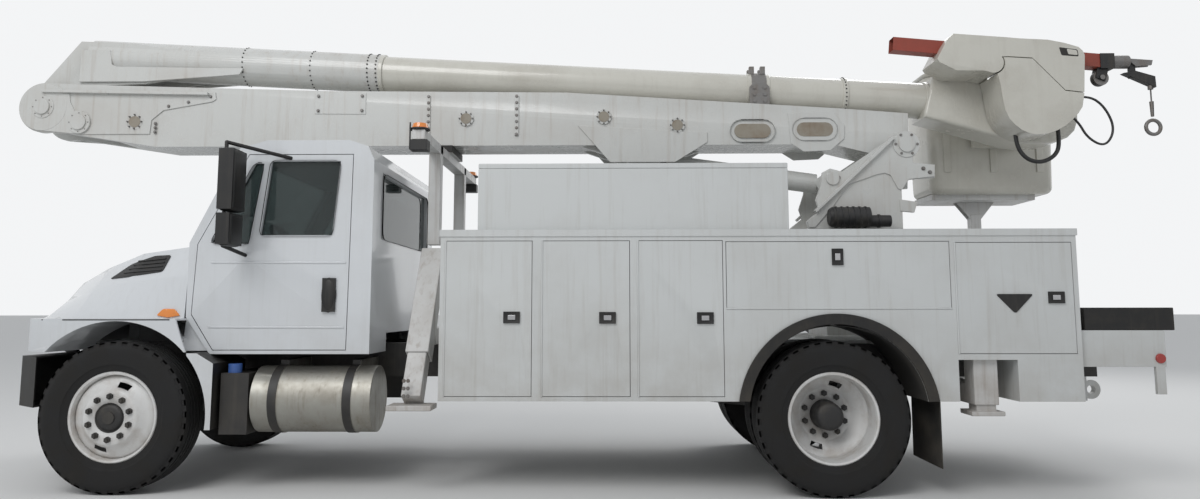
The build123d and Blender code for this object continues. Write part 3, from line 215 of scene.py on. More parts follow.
def weathered(name, paint, grime, gloss, scale=1.6, patches=0.3, streaks=0.2, low=0.5, bump=0.04, metal=0.0,
              coat=0.0):
    """A material of one paint or metal under the weather, with its own amounts of each kind of dirt."""
    finish, tree, shader = new_material(name, Metallic=metal, Coat_Weight=coat, Coat_Roughness=0.08)
    dirt = add_node(tree, "ShaderNodeGroup")
    dirt.node_tree = weather
    dirt.inputs["Paint"].default_value = (*paint, 1.0)
    dirt.inputs["Grime"].default_value = (*grime, 1.0)
    values = {"Patch Scale": scale, "Patches": patches, "Streaks": streaks, "Low Dust": low, "Gloss": gloss}
    for label, value in values.items():
        dirt.inputs[label].default_value = value
    tree.links.new(dirt.outputs["Color"], shader.inputs["Base Color"])
    tree.links.new(dirt.outputs["Roughness"], shader.inputs["Roughness"])
    relief = add_node(tree, "ShaderNodeBump", Strength=bump, Distance=0.01)
    tree.links.new(dirt.outputs["Height"], relief.inputs["Height"])
    tree.links.new(relief.outputs[0], shader.inputs["Normal"])
    return finish


def take(node, finish):
    """Gives a CAD node its finish."""
    for place in nodes[node].material_slots:
        place.material = finish


road_dust = (0.10, 0.088, 0.070)
chassis_black = weathered("chassis_black", (0.010, 0.010, 0.011), road_dust, 0.45, patches=0.30, low=0.35)
for node in ("frame_rails", "axles", "leaf_springs", "knuckle_left", "knuckle_right"):
    take(node, chassis_black)

# Wheels: truck tyres on white dished steel rims, two at each end of the rear axle.
# Ribbed road tread with cut shoulders, black hubs and ten wheel nuts, two oval hand holes in each disc.
tyre_lo, tyre_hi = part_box("rear_tyres_left")
rear_axle_x = (tyre_lo[0] + tyre_hi[0]) / 2
hub_z = (tyre_lo[2] + tyre_hi[2]) / 2
tyre_r = hub_z
tyre_half = 0.138
front_lo, front_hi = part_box("front_tyre_left")
front_axle_x = (front_lo[0] + front_hi[0]) / 2
front_y = -(front_lo[1] + front_hi[1]) / 2
rear_outer_y = -tyre_lo[1] - tyre_half
rear_inner_y = -tyre_hi[1] + tyre_half
rim_r = 0.292
weld = 0.0002

rubber_tyre = weathered("tyre_rubber", (0.004, 0.004, 0.0045), (0.030, 0.027, 0.023), 0.80, scale=5.0,
                        patches=0.45, streaks=0.0, low=0.20, bump=0.10)
wheel_white = weathered("wheel_white", (0.68, 0.68, 0.67), (0.26, 0.19, 0.13), 0.38, scale=6.0, patches=0.55,
                        streaks=0.1, low=0.12)
hub_black = weathered("hub_black", (0.013, 0.013, 0.014), road_dust, 0.5, scale=8.0, patches=0.5, low=0.1)


def finished(name, bm, body, finishes, sharp=0.6, edge=0.0, segments=2):
    """Makes a piece from its mesh: finishes, smooth shading, rounded edges and body."""
    mesh = bpy.data.meshes.new(name)
    bm.to_mesh(mesh)
    bm.free()
    for finish in finishes:
        mesh.materials.append(finish)
    mesh.shade_smooth()
    mesh.set_sharp_from_angle(angle=sharp)
    piece = bpy.data.objects.new(name, mesh)
    scene.collection.objects.link(piece)
    if edge:
        rounding = piece.modifiers.new("rounded_edges", "BEVEL")
        rounding.width = edge
        rounding.segments = segments
        rounding.limit_method = "ANGLE"
        rounding.angle_limit = sharp
        rounding.harden_normals = True
    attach(piece, body)
    return piece


def walled(piece, thick, offset=-1.0):
    """Gives a piece made of sheet its thickness."""
    wall = piece.modifiers.new("wall", "SOLIDIFY")
    wall.thickness = thick
    wall.offset = offset
    return piece


def joined(bm, part):
    """Adds one mesh to another."""
    shape = bpy.data.meshes.new("part")
    part.to_mesh(shape)
    part.free()
    bm.from_mesh(shape)


def spun(bm, profile, steps):
    """A full turn of a profile of (Y, radius) points round the Y axis, its seam closed."""
    verts = [bm.verts.new((0, y, r)) for y, r in profile]
    edges = [bm.edges.new(pair) for pair in zip(verts, verts[1:])]
    bmesh.ops.spin(bm, geom=verts + edges, cent=(0, 0, 0), axis=(0, 1, 0), angle=2 * math.pi, steps=steps,
                   use_merge=True)


def bar_between(bm, start, end, r, sides=12, end_r=None):
    """A round bar from one point to another."""
    start, end = Vector(start), Vector(end)
    run = end - start
    turn = run.to_track_quat("Z", "Y").to_matrix().to_4x4()
    far_r = r if end_r is None else end_r
    bmesh.ops.create_cone(bm, segments=sides, radius1=r, radius2=far_r, depth=run.length, cap_ends=True,
                          matrix=Matrix.Translation((start + end) / 2) @ turn)


def tyre_mesh(bm, y):
    """One tyre: rounded walls with a rim bead and a rib round each, four grooves and cut shoulders."""
    wall = [
        (0.100, rim_r), (0.112, rim_r + 0.004), (0.119, rim_r + 0.018), (0.126, rim_r + 0.042),
        (0.1315, 0.350), (0.1345, 0.353), (0.1365, 0.395), (0.1375, 0.425), (0.1365, 0.452), (0.132, 0.474),
        (0.128, 0.480), (0.121, tyre_r - 0.005), (0.116, tyre_r - 0.003), (0.090, tyre_r - 0.001),
    ]
    groove_r = tyre_r - 0.013
    ribs = [
        (0.068, tyre_r - 0.001), (0.066, groove_r), (0.056, groove_r), (0.054, tyre_r),
        (0.026, tyre_r), (0.024, groove_r), (0.014, groove_r), (0.012, tyre_r),
    ]
    outer = wall + ribs
    profile = [(-a, r) for a, r in outer] + [(a, r) for a, r in reversed(outer)]
    profile.append((-0.100, rim_r))
    steps = 80
    spun(bm, [(y + a, r) for a, r in profile], steps)
    bmesh.ops.remove_doubles(bm, verts=bm.verts, dist=weld)
    bm.normal_update()
    cuts = []
    for face in bm.faces:
        centre = face.calc_center_median()
        out = math.hypot(centre.x, centre.z)
        turn = round(math.atan2(centre.z, centre.x) / (2 * math.pi) * steps - 0.5)
        if turn % 2 == 0 and 0.112 < abs(centre.y - y) < 0.127 and out > tyre_r - 0.025:
            cuts.append(face)
    for face in bmesh.ops.extrude_discrete_faces(bm, faces=cuts)["faces"]:
        centre = face.calc_center_median()
        inward = -Vector((centre.x, 0, centre.z)).normalized() * 0.011
        bmesh.ops.translate(bm, verts=face.verts, vec=inward)


def rim_mesh(bm, y, way, face_at, hub_to):
    """One rim: a barrel with rolled lips, a coned disc with two hand holes, nuts and hub, way +1 or -1."""
    half = [(0.114, 0.012), (0.119, 0.006), (0.116, -0.003), (0.100, -0.008), (0.072, -0.010)]
    barrel = half + [(-across, rise) for across, rise in reversed(half)]
    spun(bm, [(y + across, rim_r + rise) for across, rise in barrel], 48)
    first_face = len(bm.faces)
    lean = 1 if face_at > 0 else -1
    start = y + way * lean * 0.066
    face_y = y + way * face_at
    depth = face_y - start
    dish = [(start, rim_r - 0.011), (start + depth * 0.25, 0.262), (start + depth * 0.40, 0.236),
            (start + depth * 0.70, 0.200), (face_y - way * lean * 0.006, 0.184), (face_y, 0.174),
            (face_y, 0.100)]
    spun(bm, dish, 48)
    bm.faces.ensure_lookup_table()
    holes = []
    for face in bm.faces[first_face:]:
        centre = face.calc_center_median()
        turn = math.degrees(math.atan2(centre.z, centre.x)) % 180
        if 0.202 < math.hypot(centre.x, centre.z) < 0.232 and abs(turn - 72) < 11:
            holes.append(face)
    bmesh.ops.delete(bm, geom=holes, context="FACES_ONLY")
    white_faces = set(bm.faces)
    hub_y = y + way * hub_to
    spun(bm, [(face_y, 0.098), (hub_y - way * 0.016, 0.090), (hub_y - way * 0.004, 0.080), (hub_y, 0.064),
              (hub_y, 0.0001)], 32)
    nuts = 10
    nut_circle_r = 0.143
    for nut in range(nuts):
        turn = 2 * math.pi * (nut + 0.5) / nuts
        nut_x, nut_z = nut_circle_r * math.cos(turn), nut_circle_r * math.sin(turn)
        for tall, r, sides in ((0.020, 0.019, 6), (0.034, 0.009, 8)):
            bar_between(bm, (nut_x, face_y, nut_z), (nut_x, face_y + way * tall, nut_z), r, sides=sides)
    for face in bm.faces:
        face.material_index = 0 if face in white_faces else 1
    bmesh.ops.remove_doubles(bm, verts=bm.verts, dist=weld)


def wheel_set(side, end, name, x, rings, face_places):
    """The tyres and rims at one end of an axle, for side -1 the driver's and +1 the kerb's."""
    front = name == "front"
    tyres = bmesh.new()
    rims = bmesh.new()
    for ring_y, (face_at, hub_to) in zip(rings, face_places):
        one = bmesh.new()
        tyre_mesh(one, side * ring_y)
        joined(tyres, one)
        one = bmesh.new()
        rim_mesh(one, side * ring_y, side, face_at, hub_to)
        joined(rims, one)
    body = f"front_wheel_{end}" if front else f"rear_wheels_{end}"
    for bm, what, slot, finishes in ((tyres, "tyre", "tyre", [rubber_tyre]),
                                     (rims, "rim", "wheel_white", [wheel_white, hub_black])):
        bmesh.ops.recalc_face_normals(bm, faces=bm.faces)
        bmesh.ops.translate(bm, verts=bm.verts, vec=(x, 0, hub_z))
        piece = finished(f"{name}_wheel_{what}_{end}", bm, body, finishes, sharp=0.7)
        if what == "rim":
            walled(piece, 0.006, offset=0.0)
        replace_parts(piece, f"front_{what}_{end}" if front else f"rear_{what}s_{end}")


both_sides = ((-1, "left"), (1, "right"))
for side, end in both_sides:
    wheel_set(side, end, "front", front_axle_x, [front_y], [(0.148, 0.157)])
    wheel_set(side, end, "rear", rear_axle_x, [rear_outer_y, rear_inner_y],
              [(-0.157, 0.020), (0.150, 0.156)])

# Hood and fenders: one pressed shell in white enamel that tilts forward over the engine.
# The lamps' black surround sits in an opening in its nose, with fluted glass at both ends; the flutes are
# painted as bands of light and shade.
# The enamel's slight blue is a painted reflection of the sky, not a tint of the paint.
enamel = weathered("white_enamel_painted_sky_tint", (0.64, 0.66, 0.68), (0.32, 0.29, 0.24), 0.16, scale=1.2, patches=0.16,
                   streaks=0.10, low=0.35, bump=0.006, coat=0.6)
grille_black = weathered("grille_black", (0.016, 0.016, 0.018), road_dust, 0.30, patches=0.3)


def dressed(node, finish, edge=0.004, sharp=0.6, segments=2, others=()):
    """A copy of a CAD node with its facets merged, its edges rounded and its curved faces smooth."""
    bm = bmesh.new()
    bm.from_mesh(nodes[node].data)
    bmesh.ops.remove_doubles(bm, verts=bm.verts, dist=0.0001)
    bmesh.ops.dissolve_limit(bm, angle_limit=0.01, verts=bm.verts, edges=bm.edges,
                             use_dissolve_boundaries=False)
    for face in bm.faces:
        face.material_index = 0
    piece = finished(f"{node}_finished", bm, body_of[node], [finish, *others], sharp=sharp,
                     edge=edge, segments=segments)
    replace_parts(piece, node)
    return piece


def in_box(piece, index, x0, x1, y0, y1, z0, z1):
    """Gives the faces whose centres lie in a box the finish of that number."""
    for face in piece.data.polygons:
        x, y, z = face.center
        if x0 <= x <= x1 and y0 <= y <= y1 and z0 <= z <= z1:
            face.material_index = index


def along(x):
    """A place along the truck, given in metres from the rear axle."""
    return rear_axle_x + x


hood = dressed("hood", enamel, edge=0.010, sharp=0.75, segments=3)
surround = dressed("grille_and_lamps", grille_black, edge=0.003, sharp=0.75)
lamp_lens, lens_tree, lens_shader = new_material("headlamp_lens", Roughness=0.12, Metallic=0.35,
                                                 Coat_Weight=1.0)
# Light and dark bands in the lens colour are painted glints of its flutes; the lens face itself is flat.
flute_glint_bands = add_node(lens_tree, "ShaderNodeTexWave", ("bands_direction", "Y"), Scale=14.0)
flute_place = add_node(lens_tree, "ShaderNodeTexCoord")
painted_flute_glints = add_node(lens_tree, "ShaderNodeMix", ("data_type", "RGBA"), A=(0.16, 0.17, 0.18, 1.0),
                       B=(0.34, 0.35, 0.36, 1.0))
lens_tree.links.new(flute_place.outputs["Object"], flute_glint_bands.inputs["Vector"])
lens_tree.links.new(flute_glint_bands.outputs[0], painted_flute_glints.inputs["Factor"])
lens_tree.links.new(painted_flute_glints.outputs["Result"], lens_shader.inputs["Base Color"])
surround.data.materials.append(lamp_lens)
lamp_x = (along(-5.75), along(-5.40))
lamp_z = (0.9, 1.2)
for lamp_y in ((-1.2, -0.5), (0.5, 1.2)):
    in_box(surround, 1, *lamp_x, *lamp_y, *lamp_z)

# Black trim set on the hood: a louvred vent on each flank and an amber marker behind the lamp.
# Thin moulded pieces clipped to the shell, following its curve.
trim_black = weathered("trim_black", (0.005, 0.005, 0.0055), road_dust, 0.48, scale=3.0, patches=0.2, low=0.1)
amber = weathered("amber_lens", (0.80, 0.24, 0.02), (0.35, 0.12, 0.03), 0.12, scale=8.0, patches=0.2,
                  coat=0.8)


def skin_of(piece):
    """The surface of a finished piece, for laying trim on it."""
    bm = bmesh.new()
    bm.from_mesh(piece.data)
    surface = BVHTree.FromBMesh(bm)
    bm.free()
    return surface


def pressed(name, bm, surface, aim, lift, thick, body, finish, edge):
    """Presses a flat mesh onto a surface along a direction, then gives it its thickness and round edges."""
    lost = []
    for vert in bm.verts:
        hit = surface.ray_cast(vert.co, aim)[0]
        if hit is None:
            lost.append(vert)
        else:
            vert.co = hit - aim * lift
    bmesh.ops.delete(bm, geom=lost, context="VERTS")
    bm.normal_update()
    if sum(face.normal.dot(aim) for face in bm.faces) > 0:
        bmesh.ops.reverse_faces(bm, faces=bm.faces)
    piece = walled(finished(name, bm, body, [finish], sharp=0.9), thick, offset=1.0)
    if edge:
        rounding = piece.modifiers.new("rounded_edges", "BEVEL")
        rounding.width = edge
        rounding.segments = 2


def laid_on(name, surface, outline, toward, thick, body, finish, cuts=2, edge=0.002):
    """A thin piece with its outline in XZ, pressed onto a surface from one side of the truck."""
    bm = bmesh.new()
    bm.faces.new([bm.verts.new((x, -toward * 3.0, z)) for x, z in outline])
    bmesh.ops.triangulate(bm, faces=bm.faces)
    bmesh.ops.subdivide_edges(bm, edges=bm.edges, cuts=cuts, use_grid_fill=True)
    pressed(name, bm, surface, Vector((0, toward, 0)), 0.0005, thick, body, finish, edge)


def rounded(points, radius, steps=4):
    """An outline with each of its corners rounded."""
    out = []
    count = len(points)
    for i, corner in enumerate(points):
        here = Vector(corner)
        before = (Vector(points[i - 1]) - here).normalized()
        after = (Vector(points[(i + 1) % count]) - here).normalized()
        start = here + before * radius
        end = here + after * radius
        for step in range(steps + 1):
            share = step / steps
            out.append(tuple(start.lerp(here, share).lerp(here.lerp(end, share), share)))
    return out


hood_skin = skin_of(hood)
vent = [(-5.115, 1.452), (-4.975, 1.556), (-4.785, 1.618), (-4.650, 1.622), (-4.668, 1.500), (-4.960, 1.462)]
marker = [(-4.640, 1.190), (-4.600, 1.236), (-4.520, 1.236), (-4.478, 1.190), (-4.560, 1.176)]
# A thin black strip along each hood seam: painted shade standing for the dark of the gap.
painted_gap_shade_outline = [(-5.560, 1.160), (-5.560, 1.167), (-4.470, 1.167), (-4.470, 1.160)]
for side, end in both_sides:
    for name, outline, finish, thick, round_by in (("hood_vent", vent, trim_black, 0.006, 0.02),
                                                   ("side_marker", marker, amber, 0.010, 0.012)):
        soft_outline = rounded([(along(x), z) for x, z in outline], round_by)
        laid_on(f"{name}_{end}", hood_skin, soft_outline, -side, thick, "hood", finish)
    for row in range(4):
        low = 1.488 + 0.028 * row
        tail, head = along(-4.68), along(-5.00 + 0.03 * row)
        louvre = [(head, low), (tail, low + 0.018), (tail, low + 0.028), (head, low + 0.010)]
        laid_on(f"vent_louvre_{row}_{end}", hood_skin, louvre, -side, 0.012, "hood",
                trim_black)
    # painted shade: a black strip where the hood's seam gap shows dark
    laid_on(f"hood_gap_painted_shade_{end}", hood_skin, [(along(x), z) for x, z in painted_gap_shade_outline], -side, 0.002, "hood",
            trim_black, cuts=5, edge=0.0)

# Grille: a black moulded panel with five bright bars across it, between the lamps.
# Panel and bars are pressed onto the hood's nose, so they tilt with it.
bar_bright = weathered("grille_bright", (0.42, 0.42, 0.43), road_dust, 0.25, scale=7.0, patches=0.35, low=0.3,
                       metal=0.9)


def nose_strip(name, half_y, z0, z1, thick, finish):
    """A thin moulded strip across the truck, pressed onto the nose from straight ahead."""
    bm = bmesh.new()
    bmesh.ops.create_grid(bm, x_segments=12, y_segments=4, size=0.5)
    for vert in bm.verts:
        vert.co = Vector((-6.0, half_y * 2 * vert.co.x, z0 + (z1 - z0) * (vert.co.y + 0.5)))
    pressed(name, bm, hood_skin, Vector((1, 0, 0)), 0.001, thick, "hood", finish, 0.002)


nose_strip("grille_panel", 0.360, 1.135, 1.330, 0.004, grille_black)
for row in range(5):
    bar_z = 1.150 + 0.037 * row
    nose_strip(f"grille_bar_{row}", 0.345, bar_z, bar_z + 0.014, 0.009, bar_bright)

# Front bumper: a pressed channel across the nose, its corners rounded.
# Grained grey-black finish, dusty toward the ground.
bumper_grey = weathered("bumper_grey", (0.012, 0.0125, 0.014), (0.06, 0.055, 0.046), 0.55, scale=3.5,
                        patches=0.45, streaks=0.25, low=0.5, bump=0.10)
dressed("front_bumper", bumper_grey, edge=0.012, segments=3)

# Cab: a welded steel shell in the same white enamel, with doors hung at their front edge.
# Black gaskets hold the glass; the mirrors stand on black tube arms, and the handles are black.
glass, glass_tree, glass_shader = new_material("tinted_glass", Transmission_Weight=0.85, IOR=1.35)
glass_dust = add_node(glass_tree, "ShaderNodeTexNoise", Scale=3.0, Detail=6.0)
glass_place = add_node(glass_tree, "ShaderNodeTexCoord")
glass_film = add_node(glass_tree, "ShaderNodeMapRange", To_Min=0.02, To_Max=0.05)
glass_tone = add_node(glass_tree, "ShaderNodeMix", ("data_type", "RGBA"), A=(0.14, 0.18, 0.18, 1.0),
                      B=(0.20, 0.235, 0.23, 1.0))
glass_tree.links.new(glass_place.outputs["Object"], glass_dust.inputs["Vector"])
glass_tree.links.new(glass_dust.outputs[0], glass_film.inputs["Value"])
glass_tree.links.new(glass_film.outputs[0], glass_shader.inputs["Roughness"])
glass_tree.links.new(glass_dust.outputs[0], glass_tone.inputs["Factor"])
glass_tree.links.new(glass_tone.outputs["Result"], glass_shader.inputs["Base Color"])
for node in ("cab_glass", "door_glass_left", "door_glass_right"):
    take(node, glass)
cabin_grey = weathered("cabin_grey", (0.045, 0.044, 0.042), (0.09, 0.08, 0.07), 0.70, scale=5.0, patches=0.3,
                       streaks=0.0, low=0.0, bump=0.12)
take("cab_interior", cabin_grey)

# Wipers: two black arms parked at the foot of the windscreen, each with its rubber blade.
# Their ends stand a little ahead of the glass, found by looking at it from straight ahead.
screen_surface = skin_of(nodes["cab_glass"])
wipers = bmesh.new()
for foot_y in (-0.62, 0.10):
    ends = []
    for y, z in ((0, 1.800), (0.26, 1.960), (0.02, 1.930), (0.50, 1.985)):
        hit = screen_surface.ray_cast(Vector((-5.0, foot_y + y, z)), Vector((1, 0, 0)))[0]
        if hit is not None:
            ends.append(hit + Vector((-0.014, 0, 0.006)))
    if len(ends) == 4:
        bar_between(wipers, ends[0], ends[1], 0.008)
        bar_between(wipers, ends[2], ends[3], 0.006)
finished("wipers", wipers, "truck", [trim_black])

# Cab shell, doors, mirrors and the gaskets of the windows.
# Each door carries its mirror heads, its handle and two pressed creases.
cab_front = -4.440
cab_rear = -3.149
cab_side = 1.000
shell = dressed("cab_shell", enamel, edge=0.010, segments=3, others=(trim_black,))
in_box(shell, 1, along(cab_front - 0.05), along(cab_rear + 0.02), -1.2, 1.2, 0.40, 1.10)
for face in shell.data.polygons:
    # the skirts behind the wheels stay white
    if abs(face.center.y) > 1.02 and abs(face.normal.y) > 0.5:
        face.material_index = 0
window_frames = {
    "door_window": [(cab_front + 0.498, 1.752), (cab_rear - 0.284, 1.752), (cab_rear - 0.238, 2.278),
                    (cab_front + 0.560, 2.278)],
    "vent_window": [(cab_front + 0.150, 1.700), (cab_front + 0.420, 1.690), (cab_front + 0.508, 2.262),
                    (cab_front + 0.440, 2.262)],
}


def hollow_face(bm, places, width):
    """A flat border of one width inside a closed line of places."""
    face = bm.faces.new([bm.verts.new(place) for place in places])
    bmesh.ops.inset_region(bm, faces=[face], thickness=width, use_boundary=True, use_even_offset=True)
    bmesh.ops.delete(bm, geom=[face], context="FACES_ONLY")


def thickened(bm, faces, move):
    """Draws faces out by a distance, with walls between the old and the new ones."""
    drawn = bmesh.ops.extrude_face_region(bm, geom=faces)["geom"]
    bmesh.ops.translate(bm, verts=[v for v in drawn if isinstance(v, bmesh.types.BMVert)], vec=move)
    bmesh.ops.recalc_face_normals(bm, faces=bm.faces)


def gasket(name, outline, y, body, side):
    """A moulded gasket round an opening in an upright wall, its outer line a little outside the opening."""
    bm = bmesh.new()
    centre = sum((Vector(p) for p in outline), Vector((0, 0))) / len(outline)
    wide = [tuple(Vector(p) + (Vector(p) - centre).normalized() * 0.009) for p in outline]
    hollow_face(bm, [(x, y, z) for x, z in rounded(wide, 0.05, 6)], 0.034)
    thickened(bm, bm.faces[:], (0, side * 0.012, 0))
    finished(name, bm, body, [trim_black], edge=0.003)


def block(bm, size, centre=(0, 0, 0)):
    """A block of one size about its centre."""
    verts = bmesh.ops.create_cube(bm, size=1.0)["verts"]
    bmesh.ops.scale(bm, verts=verts, vec=size)
    bmesh.ops.translate(bm, verts=verts, vec=centre)
    return verts


for side, end in both_sides:
    door = dressed(f"cab_door_{end}", enamel, edge=0.006, others=(trim_black,))
    outer = sorted((side * 1.003, side * 1.6))
    in_box(door, 1, along(-5.0), along(-3.0), *outer, 1.0, 2.6)
    for frame_name, outline in window_frames.items():
        gasket(f"{frame_name}_gasket_{end}", [(along(x), z) for x, z in outline], side * (cab_side + 0.001),
               f"cab_door_{end}", side)
    door_surface = skin_of(door)
    # two pressed creases along the door
    head, tail = along(cab_front + 0.16), along(cab_rear - 0.18)
    for number, z in enumerate((1.555, 1.105)):
        crease = [(head, z), (tail, z - 0.004), (tail, z + 0.010), (head, z + 0.014)]
        laid_on(f"door_crease_{number}_{end}", door_surface, crease, -side, 0.005, f"cab_door_{end}",
                enamel, edge=0.003)
    # mirror heads: rounded black housings over the plain ones
    heads = bmesh.new()
    mirror_x = along(cab_front + 0.390)
    for z0, z1, depth in ((1.890, 2.320, 0.115), (1.655, 1.880, 0.100)):
        block(heads, (depth, 0.206, z1 - z0), (mirror_x, side * 1.245, (z0 + z1) / 2))
    bmesh.ops.bevel(heads, geom=heads.edges[:], offset=0.035, segments=4, affect="EDGES", profile=0.5,
                    material=-1)
    finished(f"mirror_heads_{end}", heads, f"cab_door_{end}", [trim_black])
    # handle: an oval pad with a grip across it
    grip = bmesh.new()
    bmesh.ops.create_uvsphere(grip, u_segments=24, v_segments=12, radius=1.0)
    bmesh.ops.scale(grip, verts=grip.verts, vec=(0.052, 0.020, 0.122))
    grip_place = (along(cab_rear - 0.290), side * (cab_side + 0.012), 1.332)
    bmesh.ops.translate(grip, verts=grip.verts, vec=grip_place)
    finished(f"door_handle_{end}", grip, f"cab_door_{end}", [trim_black])
rear_frame = bmesh.new()
rear_outline = rounded([(-0.76, 1.74), (0.76, 1.74), (0.76, 2.23), (-0.76, 2.23)], 0.09, 6)
hollow_face(rear_frame, [(along(cab_rear) + 0.001, y, z) for y, z in rear_outline], 0.045)
thickened(rear_frame, rear_frame.faces[:], (0.010, 0, 0))
finished("rear_window_gasket", rear_frame, "truck", [trim_black], edge=0.002)

# Fuel tank in brushed aluminium with black straps, and a black fluid tank with a blue cap
# ahead of it. The engine and gearbox are rough castings in grey.
aluminium = weathered("brushed_aluminium", (0.37, 0.365, 0.335), (0.17, 0.14, 0.10), 0.36, scale=4.0,
                      patches=0.45, streaks=0.35, low=0.35, bump=0.05, metal=0.85)
cap_blue = weathered("cap_blue", (0.03, 0.12, 0.42), road_dust, 0.4, patches=0.2)
tank = dressed("tanks", aluminium, edge=0.006, sharp=0.45, others=(chassis_black, cap_blue))
tank_y = -0.880
tank_z = 0.612
for face in tank.data.polygons:
    x, y, z = face.center
    out = math.hypot(y - tank_y, z - tank_z)
    on_barrel = along(-3.93) < x < along(-3.10) and y < -0.60
    if not on_barrel or (out > 0.2305 and abs(face.normal.x) < 0.5) or out > 0.25:
        face.material_index = 1
in_box(tank, 2, along(-4.13), along(-4.0), -1.06, -0.95, 0.805, 0.86)
cast_grey = weathered("cast_grey", (0.13, 0.13, 0.13), (0.08, 0.06, 0.045), 0.6, scale=4.0, patches=0.6,
                      bump=0.2)
dressed("engine", cast_grey, edge=0.006)

# Utility body: folded and welded steel packs of compartments in satin white, with flush doors,
# a chest above the driver's side and a tail shelf. The latches are bright paddles in black pans,
# and the arches have rubber flares.
# Its grey-green tone is painted shade: the body is the same white as the cab, darkened and greyed as if in
# shade.
body_white_painted_shade = weathered("body_white_painted_shade", (0.59, 0.605, 0.60), (0.30, 0.26, 0.21), 0.30, scale=1.3, patches=0.20,
                       streaks=0.22, low=0.45, bump=0.015, coat=0.2)
inside_dark = weathered("inside_dark", (0.030, 0.030, 0.030), road_dust, 0.7, patches=0.4)
rubber = weathered("moulded_rubber", (0.005, 0.005, 0.0055), road_dust, 0.66, scale=4.0, patches=0.4, low=0.5,
                   bump=0.08)
bright = weathered("bright_plate", (0.46, 0.46, 0.47), (0.20, 0.19, 0.17), 0.20, scale=9.0, patches=0.25,
                   streaks=0.1, low=0.1, bump=0.01, metal=1.0)
body_half = 1.220
arch_x = 0.025
arch_z = 0.540
arch_r = 0.590
for node in ("side_pack_left", "side_pack_right"):
    pack = dressed(node, body_white_painted_shade, edge=0.007, segments=3, others=(inside_dark,))
    for face in pack.data.polygons:
        out = math.hypot(face.center.x - along(arch_x), face.center.z - arch_z)
        if out < arch_r + 0.02 and abs(face.normal.y) < 0.5:
            face.material_index = 1
for node in ("service_body", "chest", "chest_lid"):
    dressed(node, body_white_painted_shade, edge=0.006)
dressed("rubber_guards", rubber, edge=0.006)
latches = [
    # door, place along X from the rear axle, height, upright
    (1, -2.136, 1.178, True), (2, -1.496, 1.175, True), (3, -0.846, 1.173, True),
    (4, 0.041, 1.578, False), (5, 1.476, 1.307, True),
]
for side, end in both_sides:
    for number, x, z, upright in latches:
        body = f"side_door_{number}_{end}"
        dressed(body, body_white_painted_shade, edge=0.004)
        latch = bmesh.new()
        width, height = (0.112, 0.078) if upright else (0.078, 0.112)
        block(latch, (width, 0.006, height))
        front = [f for f in latch.faces if f.normal.y * side > 0.9]
        bmesh.ops.inset_region(latch, faces=front, thickness=0.016)
        bmesh.ops.translate(latch, verts=front[0].verts, vec=(0, -side * 0.004, 0))
        pan = set(latch.faces)
        block(latch, (width * 0.46, 0.008, height * 0.42), (0, side * 0.003, 0))
        bmesh.ops.translate(latch, verts=latch.verts, vec=(along(x), side * (body_half + 0.012), z))
        for face in latch.faces:
            face.material_index = 0 if face in pan else 1
        finished(f"latch_{number}_{end}", latch, body, [trim_black, bright], edge=0.003)

# Wheel housings over the rear wheels and panels between fenders and cab.
# The housings are bent sheet, black inside; the panels are short pressings in the cab's enamel.
housing_z = arch_z + 0.115
cowl_outline = [(-4.470, 0.945), (-4.130, 0.945), (-4.300, 1.240), (-4.440, 1.300)]


def plate(bm, outline, y0, y1):
    """A flat plate with its outline in XZ, X given from the rear axle, between two places across."""
    face = bm.faces.new([bm.verts.new((along(x), y0, z)) for x, z in outline])
    thickened(bm, [face], (0, y1 - y0, 0))


for side, end in both_sides:
    liner = bmesh.new()
    start = [liner.verts.new((arch_r - 0.006, side * y, 0)) for y in (1.196, 0.560)]
    ridge = liner.edges.new(start)
    bmesh.ops.spin(liner, geom=start + [ridge], cent=(0, 0, 0), axis=(0, -1, 0), angle=math.pi, steps=28)
    bmesh.ops.translate(liner, verts=liner.verts, vec=(along(arch_x), 0, housing_z))
    bmesh.ops.scale(liner, verts=liner.verts, vec=(1.0, 1.0, 0.80),
                    space=Matrix.Translation((0, 0, -housing_z)))
    bmesh.ops.recalc_face_normals(liner, faces=liner.faces)
    walled(finished(f"wheel_housing_{end}", liner, "truck", [inside_dark]), 0.004)
    cowl = bmesh.new()
    plate(cowl, cowl_outline, side * 0.950, side * 0.970)
    finished(f"cowl_panel_{end}", cowl, "truck", [enamel], edge=0.004)

# Small trim of the body: a black breather plate above and behind each rear wheel, and a round red
# marker on each apron of the tail shelf.
marker_red = weathered("marker_red", (0.42, 0.02, 0.015), road_dust, 0.2, scale=9.0, patches=0.2, coat=0.6)
breather = rounded([(1.080, 1.330), (1.330, 1.330), (1.205, 1.200)], 0.02)
apron_y = body_half - 0.040
marker_x = along(2.160)
marker_z = 0.905
for side, end in both_sides:
    vent_bm = bmesh.new()
    plate(vent_bm, breather, side * (body_half + 0.001), side * (body_half + 0.006))
    finished(f"breather_{end}", vent_bm, "truck", [trim_black], edge=0.002)
    light = bmesh.new()
    bar_between(light, (marker_x, side * apron_y, marker_z), (marker_x, side * (apron_y + 0.014), marker_z),
                0.034, sides=24, end_r=0.030)
    finished(f"tail_marker_{end}", light, "truck", [marker_red], edge=0.003)

# Outriggers and rests: square steel legs in sleeves behind the cab and ahead of the tail, each with
# a foot, bolted plates where they join, and a cross beam behind the cab that carries the parked boom.
steel_white = weathered("steel_white", (0.58, 0.58, 0.57), (0.24, 0.18, 0.13), 0.38, scale=2.6, patches=0.35,
                        streaks=0.45, low=0.5, bump=0.03)
bolt_grey = weathered("bolt_grey", (0.20, 0.195, 0.19), (0.16, 0.10, 0.06), 0.45, scale=12.0, patches=0.5,
                      metal=0.6)


